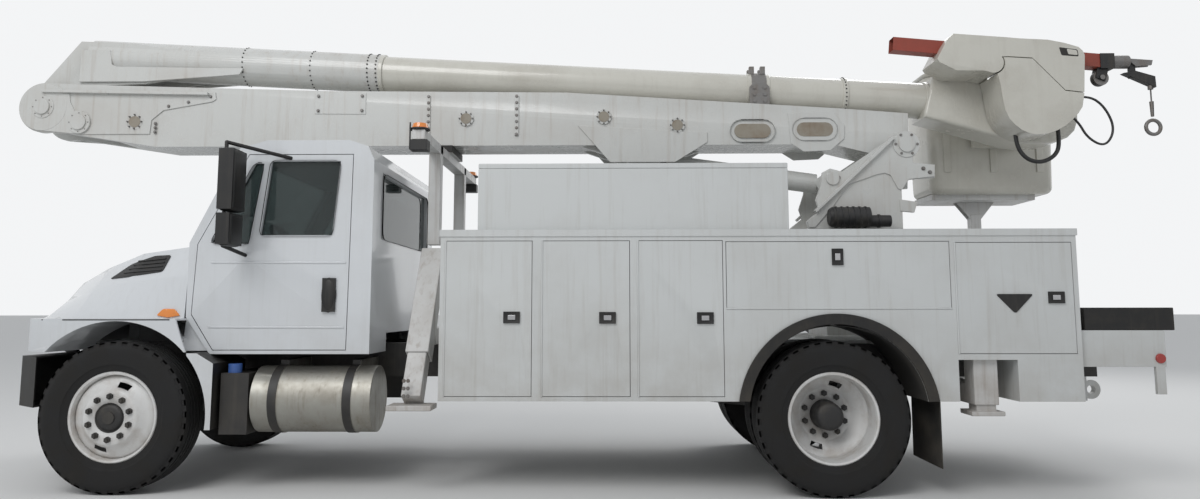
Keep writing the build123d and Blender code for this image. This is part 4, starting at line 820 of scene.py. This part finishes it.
def box_shape(bm, x0, x1, y0, y1, z0, z1):
    """A block between six places, X given from the rear axle."""
    return block(bm, (x1 - x0, y1 - y0, z1 - z0), (along((x0 + x1) / 2), (y0 + y1) / 2, (z0 + z1) / 2))


def centred(bm, x, y, half_x, half_y, z0, z1):
    """A block standing about a place, X given from the rear axle."""
    return box_shape(bm, x - half_x, x + half_x, y - half_y, y + half_y, z0, z1)


def disc(bm, x, z, r, y0, y1, sides=32):
    """A round plate or pin across the truck, X given from the rear axle."""
    bar_between(bm, (along(x), y0, z), (along(x), y1, z), r, sides=sides)


def bolts(name, body, places, r, y, side, height=0.008):
    """Hexagon bolt heads with washers on an upright face, their places given as X and Z."""
    bm = bmesh.new()
    for x, z in places:
        disc(bm, x, z, r * 1.45, y, y + side * height * 0.3, sides=16)
        disc(bm, x, z, r, y, y + side * height, sides=6)
    return finished(name, bm, body, [bolt_grey])


for node in ("outrigger_frames", "front_outrigger_left", "front_outrigger_right", "rear_outrigger_left",
             "rear_outrigger_right"):
    dressed(node, steel_white, edge=0.007, segments=3)
foot_bolts = [(x, 0.66 + 0.05 * row) for x in (-2.85, -2.822) for row in (0, 1, 2)]
leg_face = 1.214
for side, end in both_sides:
    bolts(f"foot_bolts_{end}", f"front_outrigger_{end}", foot_bolts, 0.009, side * leg_face,
          side)

rest_x = -2.810
rest_top = 2.540
beam_top = rest_top - 0.061
post_half = 0.045
rest_bm = bmesh.new()
for side in (-1, 1):
    centred(rest_bm, rest_x, side * 0.52, post_half, post_half, 1.715, beam_top)
centred(rest_bm, rest_x, 0, post_half, 1.130, rest_top - 0.130, beam_top)
centred(rest_bm, rest_x, 0, 0.070, 0.230, rest_top - 0.060, rest_top - 0.001)
seat_x = 1.800
seat_y = 0.780
bucket_floor = 2.236
seat_under = bucket_floor - 0.052
shelf_top = 1.090
centred(rest_bm, seat_x, seat_y, post_half, post_half, shelf_top, bucket_floor - 0.16)
gusset = [(-0.17, seat_under), (0.17, seat_under), (0.05, bucket_floor - 0.20), (-0.05, bucket_floor - 0.20)]
for way in (-1, 1):
    plate(rest_bm, [(seat_x + x, z) for x, z in gusset], seat_y + way * 0.030, seat_y + way * 0.038)
centred(rest_bm, seat_x, seat_y, 0.450, 0.220, seat_under, bucket_floor - 0.001)
bmesh.ops.recalc_face_normals(rest_bm, faces=rest_bm.faces)
rests = finished("boom_and_bucket_rests", rest_bm, "truck", [steel_white, rubber],
                 edge=0.005)
in_box(rests, 1, along(rest_x - 0.08), along(rest_x + 0.08), -0.24, 0.24, rest_top - 0.059, rest_top + 0.01)
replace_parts(rests, "rests")

# Beacons: amber lenses on black bases at the ends of the rest's cross beam.
# Each has a black housing under the beam and two thin guard rods ahead of it.
beacon_y = 1.080
lens_from = rest_top - 0.046
beacon_foot = beam_top + 0.0005
lamp_bm = bmesh.new()
for side in (-1, 1):
    place = (along(rest_x), side * beacon_y)
    bar_between(lamp_bm, (*place, beacon_foot), (*place, lens_from), 0.070, sides=32)
    bar_between(lamp_bm, (*place, lens_from), (*place, rest_top - 0.011), 0.060, sides=32, end_r=0.050)
lamps = finished("beacon_lamps", lamp_bm, "truck", [amber, trim_black], edge=0.004, segments=3)
for face in lamps.data.polygons:
    if face.center.z < lens_from:
        face.material_index = 1
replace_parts(lamps, "beacons")
guard_bm = bmesh.new()
guard_x = along(rest_x) - 0.060
for side in (-1, 1):
    for way in (-1, 1):
        foot_y = side * beacon_y + way * 0.044
        bar_between(guard_bm, (guard_x, foot_y, rest_top - 0.200), (guard_x, foot_y, rest_top - 0.010), 0.006,
                    sides=8)
    centred(guard_bm, rest_x, side * beacon_y, 0.062, 0.048, rest_top - 0.205, rest_top - 0.131)
finished("beacon_housings", guard_bm, "truck", [trim_black], edge=0.004)

# Pedestal and turret: a welded drum on the deck carries the slewing ring; two cheeks with doubled
# arms hold the boom's pivot and the lift cylinder, and a black motor turns the ring.
boom_white = weathered("boom_white", (0.60, 0.605, 0.585), (0.27, 0.19, 0.12), 0.26, scale=1.8, patches=0.26,
                       streaks=0.30, low=0.0, bump=0.012, coat=0.25)
dressed("pedestal", boom_white, edge=0.008, sharp=0.45)
bearing_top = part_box("turret")[0][2]
cheek_in = 0.300
cheek_out = 0.325
pivot = (0.835, 2.512)
cylinder_pin = (0.253, 2.243)
cheek_outline = [
    (0.060, bearing_top + 0.050), (0.045, 1.905), (0.146, 1.992), (0.120, 2.074), (0.163, 2.200),
    (0.176, 2.292), (0.240, 2.325), (0.330, 2.300), (0.734, 2.571), (0.800, 2.606), (0.860, 2.600),
    (0.898, 2.548), (0.887, 2.369), (1.055, 2.352), (1.051, 2.250), (0.850, 2.234), (0.790, 2.160),
    (0.790, bearing_top + 0.050),
]
arm_outline = [
    (0.062, 1.862), (0.048, 1.915), (0.146, 1.992), (0.124, 2.074), (0.165, 2.200), (0.178, 2.288),
    (0.240, 2.312), (0.300, 2.291), (0.383, 2.300), (0.734, 2.571), (0.800, 2.600), (0.850, 2.594),
    (0.892, 2.542), (0.882, 2.362), (1.050, 2.348), (1.046, 2.258), (0.846, 2.236), (0.788, 2.152),
    (0.760, 2.160), (0.705, 2.268), (0.660, 2.286), (0.600, 2.274), (0.376, 2.196), (0.250, 2.020),
    (0.110, 1.862),
]
arm_flange = [(0.100, 1.990), (0.726, 2.572), (0.742, 2.556), (0.116, 1.974)]
tail_bracket = [(0.770, 2.079), (0.906, 2.058), (0.879, 1.976), (0.770, 1.987)]
turret_bm = bmesh.new()
ring_x = along(0.480)
bar_between(turret_bm, (ring_x, 0, bearing_top), (ring_x, 0, bearing_top + 0.050), 0.395, sides=64)
box_shape(turret_bm, 0.100, 0.790, -cheek_in, cheek_in, bearing_top + 0.050, bearing_top + 0.075)
for side in (-1, 1):
    plate(turret_bm, cheek_outline, side * cheek_in, side * cheek_out)
    plate(turret_bm, arm_outline, side * cheek_out, side * (cheek_out + 0.010))
    plate(turret_bm, arm_flange, side * cheek_out, side * (cheek_out + 0.045))
    plate(turret_bm, tail_bracket, side * cheek_in, side * (cheek_out + 0.010))
    for pin, r, proud in ((pivot, 0.104, 0.018), (pivot, 0.064, 0.032), (cylinder_pin, 0.052, 0.026)):
        disc(turret_bm, *pin, r, side * cheek_out, side * (cheek_out + proud))
for pin, r in ((pivot, 0.050), (cylinder_pin, 0.032)):
    disc(turret_bm, *pin, r, -cheek_in - 0.01, cheek_in + 0.01)
bmesh.ops.recalc_face_normals(turret_bm, faces=turret_bm.faces)
turret = finished("turret_cheeks", turret_bm, "turret", [boom_white], edge=0.003)
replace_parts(turret, "turret")


def ring_of(x, z, r, count=8):
    """Places in a ring on an upright face."""
    turns = [2 * math.pi * k / count for k in range(count)]
    return [(x + r * math.cos(turn), z + r * math.sin(turn)) for turn in turns]


bracket_bolts = [(0.960, 2.320), (1.010, 2.290), (0.30, 2.25)]
for side, end in both_sides:
    bolts(f"pivot_bolts_{end}", "turret", ring_of(*pivot, 0.084, 6) + bracket_bolts, 0.011,
          side * (cheek_out + 0.010), side, 0.014)
motor_bm = bmesh.new()
motor_y = -0.430
motor_z = 1.930
spindle_z = motor_z - 0.03


def shaft(bm, x0, x1, y, z, r, sides=24, end_r=None):
    """A round bar along the truck, X given from the rear axle."""
    bar_between(bm, (along(x0), y, z), (along(x1), y, z), r, sides=sides, end_r=end_r)


shaft(motor_bm, 0.190, 0.215, motor_y, motor_z, 0.060, end_r=0.078)
shaft(motor_bm, 0.215, 0.500, motor_y, motor_z, 0.078)
for rib in range(6):
    shaft(motor_bm, 0.235 + 0.045 * rib, 0.250 + 0.045 * rib, motor_y, motor_z, 0.084)
shaft(motor_bm, 0.500, 0.660, motor_y, spindle_z, 0.045, sides=20)
shaft(motor_bm, 0.560, 0.580, motor_y, spindle_z, 0.052, sides=20)
box_shape(motor_bm, 0.330, 0.500, motor_y + 0.02, -cheek_out, 1.870, 1.990)
bmesh.ops.recalc_face_normals(motor_bm, faces=motor_bm.faces)
finished("swing_motor", motor_bm, "turret", [hub_black], edge=0.004)

# Lower boom: a welded box beam of thin plate, hollow, with a trough along its top for the parked
# upper boom. Doubler plates at the root and the elbow, round covers and two flanged access holes.
dressed("lower_boom", boom_white, edge=0.006, sharp=0.5)
boom_half = 0.200
elbow = (-6.085, 2.869)
elbow_r = 0.205
root_doubler = [(-0.055, 2.790), (0.297, 2.812), (0.396, 2.692), (0.389, 2.584), (0.277, 2.489),
                (0.066, 2.480), (-0.035, 2.545)]
elbow_plate = [(-6.085, 3.009), (-4.685, 2.987), (-4.675, 2.930), (-4.705, 2.909), (-5.101, 2.839),
               (-5.195, 2.759), (-5.205, 2.644), (-5.805, 2.644), (-6.085, 2.664)]
elbow_doubler = [(-6.085, 3.000), (-5.875, 2.980), (-5.863, 2.906), (-5.825, 2.838), (-5.761, 2.835),
                 (-5.780, 2.645), (-6.085, 2.674)]
elbow_flange = [(-6.094, 3.010), (-4.733, 2.980), (-4.733, 2.957), (-6.094, 2.987)]
lug_plate = [(-1.740, 2.700), (-1.480, 2.400), (-0.960, 2.400), (-0.700, 2.560), (-0.700, 2.640)]
splice_plates = [(-2.960, -2.930), (-2.250, -2.215)]
blank_plate = [(-3.870, 2.805), (-3.455, 2.800), (-3.455, 2.975), (-3.870, 2.980)]
pins = [elbow, (-5.780, 2.740)]
round_covers = [(-5.330, 2.745, 0.066), (-2.640, 2.760, 0.062), (-1.530, 2.770, 0.062),
                (-0.940, 2.700, 0.062)]
access_holes = [(0.157, 2.660), (-0.340, 2.650)]


def slot_outline(x, z, half_len, half_high, steps=8):
    """The outline of a slot with round ends."""
    out = []
    for way, turn in ((1, -math.pi / 2), (-1, math.pi / 2)):
        centre_x = x + way * (half_len - half_high)
        for step in range(steps + 1):
            angle = turn + math.pi * step / steps
            out.append((centre_x + half_high * math.cos(angle), z + half_high * math.sin(angle)))
    return out


cover_tan = weathered("cover_tan", (0.30, 0.27, 0.22), (0.20, 0.13, 0.08), 0.55, scale=7.0, patches=0.7,
                      bump=0.1)
plate_bolts = [((x0 + x1) / 2, 2.630 + 0.052 * row) for x0, x1 in splice_plates for row in range(7)]
plate_bolts += [(-5.160, 2.66 + 0.035 * row) for row in range(3)]
plate_bolts += [(-4.720, 2.950), (-4.900, 2.905), (-5.060, 2.872)]
plate_bolts += [(-3.84, 2.83), (-3.84, 2.95), (-3.485, 2.83), (-3.485, 2.95)]
cap_bolts = [place for pin in pins for place in ring_of(*pin, 0.077)]
cap_bolts += [place for x, z, r in round_covers for place in ring_of(x, z, 0.86 * r)]
for side, end in both_sides:
    plates = bmesh.new()
    y = side * boom_half
    for outline in (root_doubler, elbow_plate, lug_plate):
        plate(plates, outline, y, y + side * 0.010)
    disc(plates, *elbow, elbow_r - 0.003, y, y + side * 0.0115, sides=48)
    plate(plates, elbow_doubler, y, y + side * 0.020)
    disc(plates, *elbow, elbow_r - 0.010, y, y + side * 0.0220, sides=48)
    plate(plates, elbow_flange, y, y + side * 0.045)
    for x0, x1 in splice_plates:
        plate(plates, [(x0, 2.620), (x1, 2.620), (x1, 2.950), (x0, 2.950)], y, y + side * 0.012)
    plate(plates, blank_plate, y, y + side * 0.006)
    for pin in pins:
        for r, proud, sides in ((0.092, 0.028, 40), (0.062, 0.042, 32)):
            disc(plates, *pin, r, y + side * 0.010, y + side * proud, sides=sides)
    for x, z, r in round_covers:
        disc(plates, x, z, r, y, y + side * 0.012)
    bmesh.ops.recalc_face_normals(plates, faces=plates.faces)
    finished(f"boom_plates_{end}", plates, "lower_boom", [boom_white], edge=0.004)
    holes = bmesh.new()
    for x, z in access_holes:
        hollow_face(holes, [(along(px), y, pz) for px, pz in slot_outline(x, z, 0.180, 0.092)], 0.038)
    thickened(holes, holes.faces[:], (0, side * 0.020, 0))
    finished(f"access_rims_{end}", holes, "lower_boom", [boom_white], edge=0.004)
    covers = bmesh.new()
    for x, z in access_holes:
        plate(covers, slot_outline(x, z, 0.145, 0.057), y, y + side * 0.0125)
    for x, z, r in round_covers:
        disc(covers, x, z, r * 0.70, y + side * 0.010, y + side * 0.016)
    bmesh.ops.recalc_face_normals(covers, faces=covers.faces)
    finished(f"boom_covers_{end}", covers, "lower_boom", [cover_tan])
    bolts(f"boom_bolts_{end}", "lower_boom", plate_bolts, 0.009, y + side * 0.011, side, 0.011)
    bolts(f"cap_bolts_{end}", "lower_boom", cap_bolts, 0.0048, y + side * 0.011, side, 0.020)

# Lift cylinder: a painted barrel pinned to the turret and a chromed rod in the boom's lugs.
# Both keep the shape of their CAD solids, with the facets smoothed and the rims broken.
chrome = weathered("chrome_rod", (0.62, 0.62, 0.63), (0.20, 0.17, 0.13), 0.08, scale=6.0, patches=0.12,
                   streaks=0.05, low=0.0, bump=0.0, metal=1.0)
dressed("lift_barrel", boom_white, edge=0.004, sharp=0.45)
dressed("lift_rod", chrome, edge=0.002, sharp=0.45)

# Upper boom: a steel root turning in the elbow's fork and a smooth glass-fibre tube wound over a
# mandrel, cream and a little stained. Bands and a grey steel strap clamp it, and small dark
# fasteners run round it and round the root.
cream = weathered("cream_fibreglass", (0.60, 0.585, 0.525), (0.24, 0.20, 0.15), 0.22, scale=2.4, patches=0.32,
                  streaks=0.12, low=0.0, bump=0.01, coat=0.35)
dressed("upper_boom_root", boom_white, edge=0.004, sharp=0.45)
axis_from = -5.800
axis_height = 3.326
axis_slope = -0.0567
tube_r = 0.146


def on_axis(x):
    """The upper boom's axis above a place along X, which is given from the rear axle."""
    return Vector((along(x), 0, axis_height + axis_slope * (x - axis_from)))


tube_bm = bmesh.new()
tube_from = -3.478
tube_to = 1.158
bar_between(tube_bm, on_axis(tube_from), on_axis(tube_to), tube_r - 0.0005, sides=64)
ends = [f for f in tube_bm.faces if len(f.verts) > 4]
bmesh.ops.inset_region(tube_bm, faces=ends, thickness=0.014)
bmesh.ops.delete(tube_bm, geom=ends, context="FACES_ONLY")
tube = finished("upper_tube", tube_bm, "upper_boom", [cream], sharp=0.9)
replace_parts(walled(tube, 0.012), "upper_boom_tube")
bands = bmesh.new()
for x0, x1, r in ((-0.360, -0.180, 0.154), (0.415, 0.455, 0.158), (-3.385, -3.350, 0.160),
                  (1.080, 1.110, 0.156)):
    bar_between(bands, on_axis(x0), on_axis(x1), r, sides=64)
finished("tube_bands", bands, "upper_boom", [cream], edge=0.004)
strap_x = -0.270
strap_z = on_axis(strap_x).z
ear = [(-0.080, -0.138), (0.080, -0.138), (0.080, 0.010), (0.045, 0.045), (-0.045, 0.045), (-0.080, 0.010)]
strap_bm = bmesh.new()
bar_between(strap_bm, on_axis(strap_x - 0.060), on_axis(strap_x + 0.060), tube_r + 0.014, sides=64)
for side in (-1, 1):
    plate(strap_bm, [(strap_x + x, strap_z + z) for x, z in ear], side * 0.158, side * 0.172)
    for lug_x in (-0.315, -0.225):
        centred(strap_bm, lug_x, side * 0.055, 0.020, 0.020, strap_z + 0.140, strap_z + 0.205)
finished("tube_strap", strap_bm, "upper_boom", [bolt_grey], edge=0.003)
strap_bolts = [(x, strap_z - 0.108 + 0.055 * row) for x in (-0.312, -0.228) for row in (0, 1, 2)]
root_plate = [(-5.837, 3.363), (-5.596, 3.359), (-5.577, 3.238), (-5.533, 3.219), (-4.485, 3.199),
              (-4.517, 3.146), (-5.300, 3.092), (-5.840, 3.092)]
for side, end in both_sides:
    bolts(f"strap_bolts_{end}", "upper_boom", strap_bolts, 0.014, side * 0.172, side)
    cheeks = bmesh.new()
    plate(cheeks, root_plate, side * 0.148, side * 0.164)
    finished(f"root_plate_{end}", cheeks, "upper_boom", [boom_white], edge=0.004)
fasteners = bmesh.new()
for x, r, count, size in ((-3.470, 0.158, 28, 0.007), (-3.400, 0.158, 28, 0.007), (0.435, 0.158, 30, 0.006),
                          (-3.940, 0.158, 24, 0.006), (-4.500, 0.158, 24, 0.006)):
    for y, z in ring_of(0, 0, 1, count):
        out = Vector((0, y, z))
        bar_between(fasteners, on_axis(x) + out * (r - 0.002), on_axis(x) + out * (r + 0.006), size, sides=8)
finished("tube_fasteners", fasteners, "upper_boom", [hub_black])

# Boom tip: a cream cover over the tube's end and the levelling shaft. Beside it sit the platform's
# housing and the hood that tilts with the jib, both moulded in fibreglass with full, soft edges.
tip = (1.885, 2.948)
jib_pivot = (1.470, 3.118)


def arc(centre, r, start, end, steps=8):
    """Points of an arc about a centre, its angles in degrees."""
    turns = [math.radians(start + (end - start) * k / steps) for k in range(steps + 1)]
    return [(centre[0] + r * math.cos(turn), centre[1] + r * math.sin(turn)) for turn in turns]


def moulded(name, node, body, outline, y0, y1, soft, keep=(), more=None):
    """A moulded cover for a node: an outline drawn across, its rims rounded outside the kept boxes."""
    bm = bmesh.new()
    plate(bm, outline, y0, y1)
    rims = []
    for edge in bm.edges:
        a, b = (vert.co for vert in edge.verts)
        if abs(a.y - b.y) > 0.001:
            continue
        x = (a.x + b.x) / 2 - rear_axle_x
        z = (a.z + b.z) / 2
        if not any(x0 <= x <= x1 and z0 <= z <= z1 for x0, x1, z0, z1 in keep):
            rims.append(edge)
    bmesh.ops.bevel(bm, geom=rims, offset=soft, segments=6, affect="EDGES", profile=0.5, material=-1,
                    clamp_overlap=True)
    if more:
        more(bm)
    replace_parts(finished(name, bm, body, [cream], sharp=0.7), node)


tip_outline = [(1.136, 3.104), (1.055, 2.812), (1.051, 2.768), (1.233, 2.718), (1.640, 2.603),
               (1.750, 2.572), (1.866, 2.553), (1.950, 2.549), (2.035, 2.553), (2.120, 2.569),
               (2.193, 2.600), (2.250, 2.655), (2.280, 2.740), (2.285, 2.948), (2.265, 3.000),
               (1.640, 3.092), (1.412, 3.110)]
moulded("tip_cover", "boom_tip", "upper_boom", tip_outline, -0.162, 0.162, 0.028)
split = [(1.590, 3.158), (1.686, 3.152), (1.772, 3.146), (2.008, 2.892), (2.152, 2.874)]
housing_below = [(2.131, 2.767), (2.098, 2.718), (2.060, 2.676), (1.998, 2.623), (1.931, 2.585),
                 (1.855, 2.560), (1.779, 2.553), (1.720, 2.563), (1.664, 2.588), (1.612, 2.630),
                 (1.570, 2.681), (1.545, 2.745), (1.530, 2.836), (1.518, 2.945), (1.505, 3.010)]
cover_above = [(2.168, 3.100), (2.173, 3.173), (2.158, 3.208), (2.129, 3.237), (2.020, 3.270),
               (1.894, 3.296), (1.683, 3.307), (1.593, 3.316), (1.178, 3.348), (1.138, 3.312),
               (1.109, 3.266), (1.045, 3.148), (1.060, 3.124), (1.188, 3.056), (1.400, 3.053)]
head_near = -0.500
head_far = -0.172
split_gap = 0.008


def shaft_and_bracket(bm):
    """The levelling shaft through the tip and the bracket that carries the bucket."""
    disc(bm, *tip, 0.060, head_far, 0.390)
    centred(bm, tip[0], 0.405, 0.230, 0.025, tip[1] - 0.330, tip[1] + 0.180)
    box_shape(bm, tip[0] - 0.180, tip[0] + 0.180, 0.430, 0.4495, tip[1] - 0.280, tip[1] + 0.120)
    bmesh.ops.recalc_face_normals(bm, faces=bm.faces)


housing_outline = split + housing_below + arc(jib_pivot, 0.092, -70, 26)
hood_outline = [(x, z + split_gap) for x, z in split] + cover_above + arc(jib_pivot, 0.082, -90, 34)
moulded("platform_housing", "jib_head", "platform", housing_outline, head_near, head_far, 0.050,
        keep=[(1.58, 2.16, 2.872, 3.165), (1.49, 1.60, 3.0, 3.2)], more=shaft_and_bracket)
moulded("jib_hood", "jib_cover", "jib", hood_outline, head_near, head_far, 0.055,
        keep=[(1.58, 2.165, 2.875, 3.170), (1.42, 1.60, 3.0, 3.17)])
window = bmesh.new()
plate(window, rounded([(1.978, 3.236), (2.120, 3.216), (2.126, 3.160), (1.994, 3.170)], 0.012),
      head_near - 0.001, head_near + 0.020)
finished("hood_window", window, "jib", [trim_black], edge=0.002)
corner = bmesh.new()
plate(corner, rounded([(2.036, 3.222), (2.112, 3.210), (2.118, 3.170), (2.046, 3.178)], 0.010),
      head_near - 0.004, head_near + 0.010)
finished("window_corner", corner, "jib", [cream], edge=0.002)

# Jib: a red painted square tube through the hood, with a grey tensioner and jaws at its end
# and a sling ring hung on a short wire.
jib_red = weathered("jib_red", (0.30, 0.055, 0.035), (0.10, 0.055, 0.04), 0.42, scale=3.5, patches=0.55,
                    streaks=0.1, low=0.0, bump=0.05)
jib_y = -0.335
jib_fall = 0.091
jib_from = Vector((along(0.745), jib_y, 3.308))
jib_to = Vector((along(2.380), jib_y, 3.308 - jib_fall * 1.635))
jib_end_z = jib_to.z
arm_bm = bmesh.new()
arm_verts = block(arm_bm, ((jib_to - jib_from).length, 0.107, 0.107))
tilt = Matrix.Rotation(math.atan(jib_fall), 3, "Y")
bmesh.ops.rotate(arm_bm, verts=arm_verts, cent=(0, 0, 0), matrix=tilt)
bmesh.ops.translate(arm_bm, verts=arm_verts, vec=(jib_from + jib_to) / 2)
mouths = [f for f in arm_bm.faces if abs(f.normal.x) > 0.9]
bmesh.ops.inset_region(arm_bm, faces=mouths, thickness=0.010)
for mouth in mouths:
    bmesh.ops.translate(arm_bm, verts=mouth.verts, vec=-mouth.normal * 0.12)
black_from = len(arm_bm.faces)
link = [(2.350, jib_end_z), (2.320, jib_end_z - 0.130), (2.390, jib_end_z - 0.160), (2.440, jib_end_z)]
upper_jaw = [(2.570, 3.184), (2.774, 3.169), (2.763, 3.129), (2.640, 3.120)]
lower_jaw = [(2.640, 3.085), (2.787, 3.041), (2.790, 2.953), (2.760, 2.965), (2.540, 3.068)]
centred(arm_bm, 2.405, jib_y, 0.055, 0.062, jib_end_z - 0.062, jib_end_z + 0.058)
plate(arm_bm, link, jib_y - 0.040, jib_y + 0.040)
for r, half in ((0.060, 0.026), (0.020, 0.050)):
    disc(arm_bm, 2.366, 3.030, r, jib_y - half, jib_y + half)
plate(arm_bm, upper_jaw, jib_y - 0.030, jib_y - 0.018)
plate(arm_bm, upper_jaw, jib_y + 0.018, jib_y + 0.030)
plate(arm_bm, lower_jaw, jib_y - 0.026, jib_y + 0.026)
centred(arm_bm, 2.620, jib_y, 0.022, 0.018, 3.030, 3.172)
grey_from = len(arm_bm.faces)
shaft(arm_bm, 2.440, 2.592, jib_y, jib_end_z + 0.002, 0.052, sides=28)
shaft(arm_bm, 2.560, 2.600, jib_y, jib_end_z + 0.002, 0.034, sides=28)
hook_x = along(2.758)
hook_z = jib_end_z - 0.520
for top, foot, r, sides, end_r in ((2.960, hook_z + 0.105, 0.006, 10, 0.006),
                                   (hook_z + 0.205, hook_z + 0.085, 0.016, 16, 0.012),
                                   (2.990, 2.940, 0.020, 16, 0.020)):
    bar_between(arm_bm, (hook_x, jib_y, top), (hook_x, jib_y, foot), r, sides=sides, end_r=end_r)
ring_bm = bmesh.new()
section = bmesh.ops.create_circle(ring_bm, segments=12, radius=0.014)["verts"]
bmesh.ops.translate(ring_bm, verts=section, vec=(0.056, 0, 0))
bmesh.ops.spin(ring_bm, geom=section + ring_bm.edges[:], cent=(0, 0, 0), axis=(0, 1, 0), angle=2 * math.pi,
               steps=36, use_merge=True)
bmesh.ops.translate(ring_bm, verts=ring_bm.verts, vec=(hook_x, jib_y, hook_z))
joined(arm_bm, ring_bm)
bmesh.ops.recalc_face_normals(arm_bm, faces=arm_bm.faces)
arm_bm.faces.ensure_lookup_table()
for face in arm_bm.faces[black_from:]:
    face.material_index = 1
for face in arm_bm.faces[grey_from:]:
    face.material_index = 2
jib = finished("jib_arm", arm_bm, "jib", [jib_red, hub_black, bolt_grey], edge=0.003)
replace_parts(jib, "jib")

# Bucket: an open tub moulded in glass fibre with round corners, a rolled lip and ribs on its
# side, bolted to the bracket on the levelling shaft.
bucket_x0 = 1.295
bucket_x1 = 2.425
bucket_y0 = 0.450
bucket_y1 = 1.060
bucket_top = 3.306
tub = bmesh.new()
shape = box_shape(tub, bucket_x0 + 0.012, bucket_x1 - 0.012, bucket_y0 + 0.012, bucket_y1 - 0.012,
                  bucket_floor + 0.001, bucket_top)
low = [v for v in shape if v.co.z < bucket_floor + 0.01]
about_middle = Matrix.Translation((-along((bucket_x0 + bucket_x1) / 2), -(bucket_y0 + bucket_y1) / 2, 0))
bmesh.ops.scale(tub, verts=low, vec=(0.945, 0.95, 1.0), space=about_middle)
bmesh.ops.delete(tub, geom=[f for f in tub.faces if f.normal.z > 0.9], context="FACES_ONLY")
uprights = [e for e in tub.edges if abs(e.verts[0].co.z - e.verts[1].co.z) > 0.5]
bmesh.ops.bevel(tub, geom=uprights, offset=0.085, segments=6, affect="EDGES", profile=0.5, material=-1)
floor_rim = [e for e in tub.edges if max(v.co.z for v in e.verts) < bucket_floor + 0.01]
bmesh.ops.bevel(tub, geom=floor_rim, offset=0.050, segments=4, affect="EDGES", profile=0.5, material=-1)
lip = [e for e in tub.edges if e.is_boundary]
rolled = bmesh.ops.extrude_edge_only(tub, edges=lip)["geom"]
lip_verts = [v for v in rolled if isinstance(v, bmesh.types.BMVert)]
bmesh.ops.scale(tub, verts=lip_verts, vec=(1.018, 1.034, 1.0), space=about_middle)
lip_edges = [e for e in rolled if isinstance(e, bmesh.types.BMEdge)]
turned = bmesh.ops.extrude_edge_only(tub, edges=lip_edges)["geom"]
bmesh.ops.translate(tub, verts=[v for v in turned if isinstance(v, bmesh.types.BMVert)], vec=(0, 0, -0.035))
bmesh.ops.recalc_face_normals(tub, faces=tub.faces)
bucket = finished("bucket_tub", tub, "platform", [cream], sharp=0.6)
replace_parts(walled(bucket, 0.007), "bucket")
ribs = bmesh.new()
for x in (1.46, 1.86, 2.26):
    centred(ribs, x, bucket_y0 + 0.013, 0.030, 0.009, bucket_floor + 0.18, bucket_top - 0.10)
box_shape(ribs, 1.70, 2.02, bucket_y1 - 0.026, bucket_y1 - 0.002, 2.70, 2.84)
bmesh.ops.recalc_face_normals(ribs, faces=ribs.faces)
finished("bucket_ribs", ribs, "platform", [cream], edge=0.006, segments=3)

# Hoses: a thick black hydraulic line looping under the platform's housing and a thin one behind it.
# Both ends of each run into the housing.
hose_black = weathered("hose_black", (0.018, 0.018, 0.019), road_dust, 0.45, scale=9.0, patches=0.25, low=0.0,
                       bump=0.05)


def hose(name, route, r):
    """A hose along a smooth line through a few points, both of its ends in the object."""
    curve = bpy.data.curves.new(name, "CURVE")
    curve.dimensions = "3D"
    curve.bevel_depth = r
    curve.bevel_resolution = 4
    curve.use_fill_caps = True
    line = curve.splines.new("NURBS")
    line.points.add(len(route) - 1)
    for point, (x, y, z) in zip(line.points, route):
        point.co = (along(x), y, z, 1.0)
    line.order_u = 3
    line.use_endpoint_u = True
    line.resolution_u = 10
    curve.materials.append(hose_black)
    piece = bpy.data.objects.new(name, curve)
    scene.collection.objects.link(piece)
    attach(piece, "platform")


housing_loop = [(1.690, -0.330, 2.600), (1.690, -0.330, 2.500), (1.760, -0.335, 2.390),
                (1.870, -0.340, 2.360), (1.980, -0.335, 2.410), (2.030, -0.330, 2.500),
                (2.020, -0.330, 2.640)]
tip_loop = [(2.110, -0.400, 2.860), (2.230, -0.405, 2.880), (2.350, -0.410, 2.790),
            (2.420, -0.410, 2.610), (2.340, -0.405, 2.470), (2.210, -0.400, 2.540),
            (2.140, -0.400, 2.680), (2.070, -0.400, 2.740)]
hose("housing_hose", housing_loop, 0.016)
hose("tip_hose", tip_loop, 0.009)
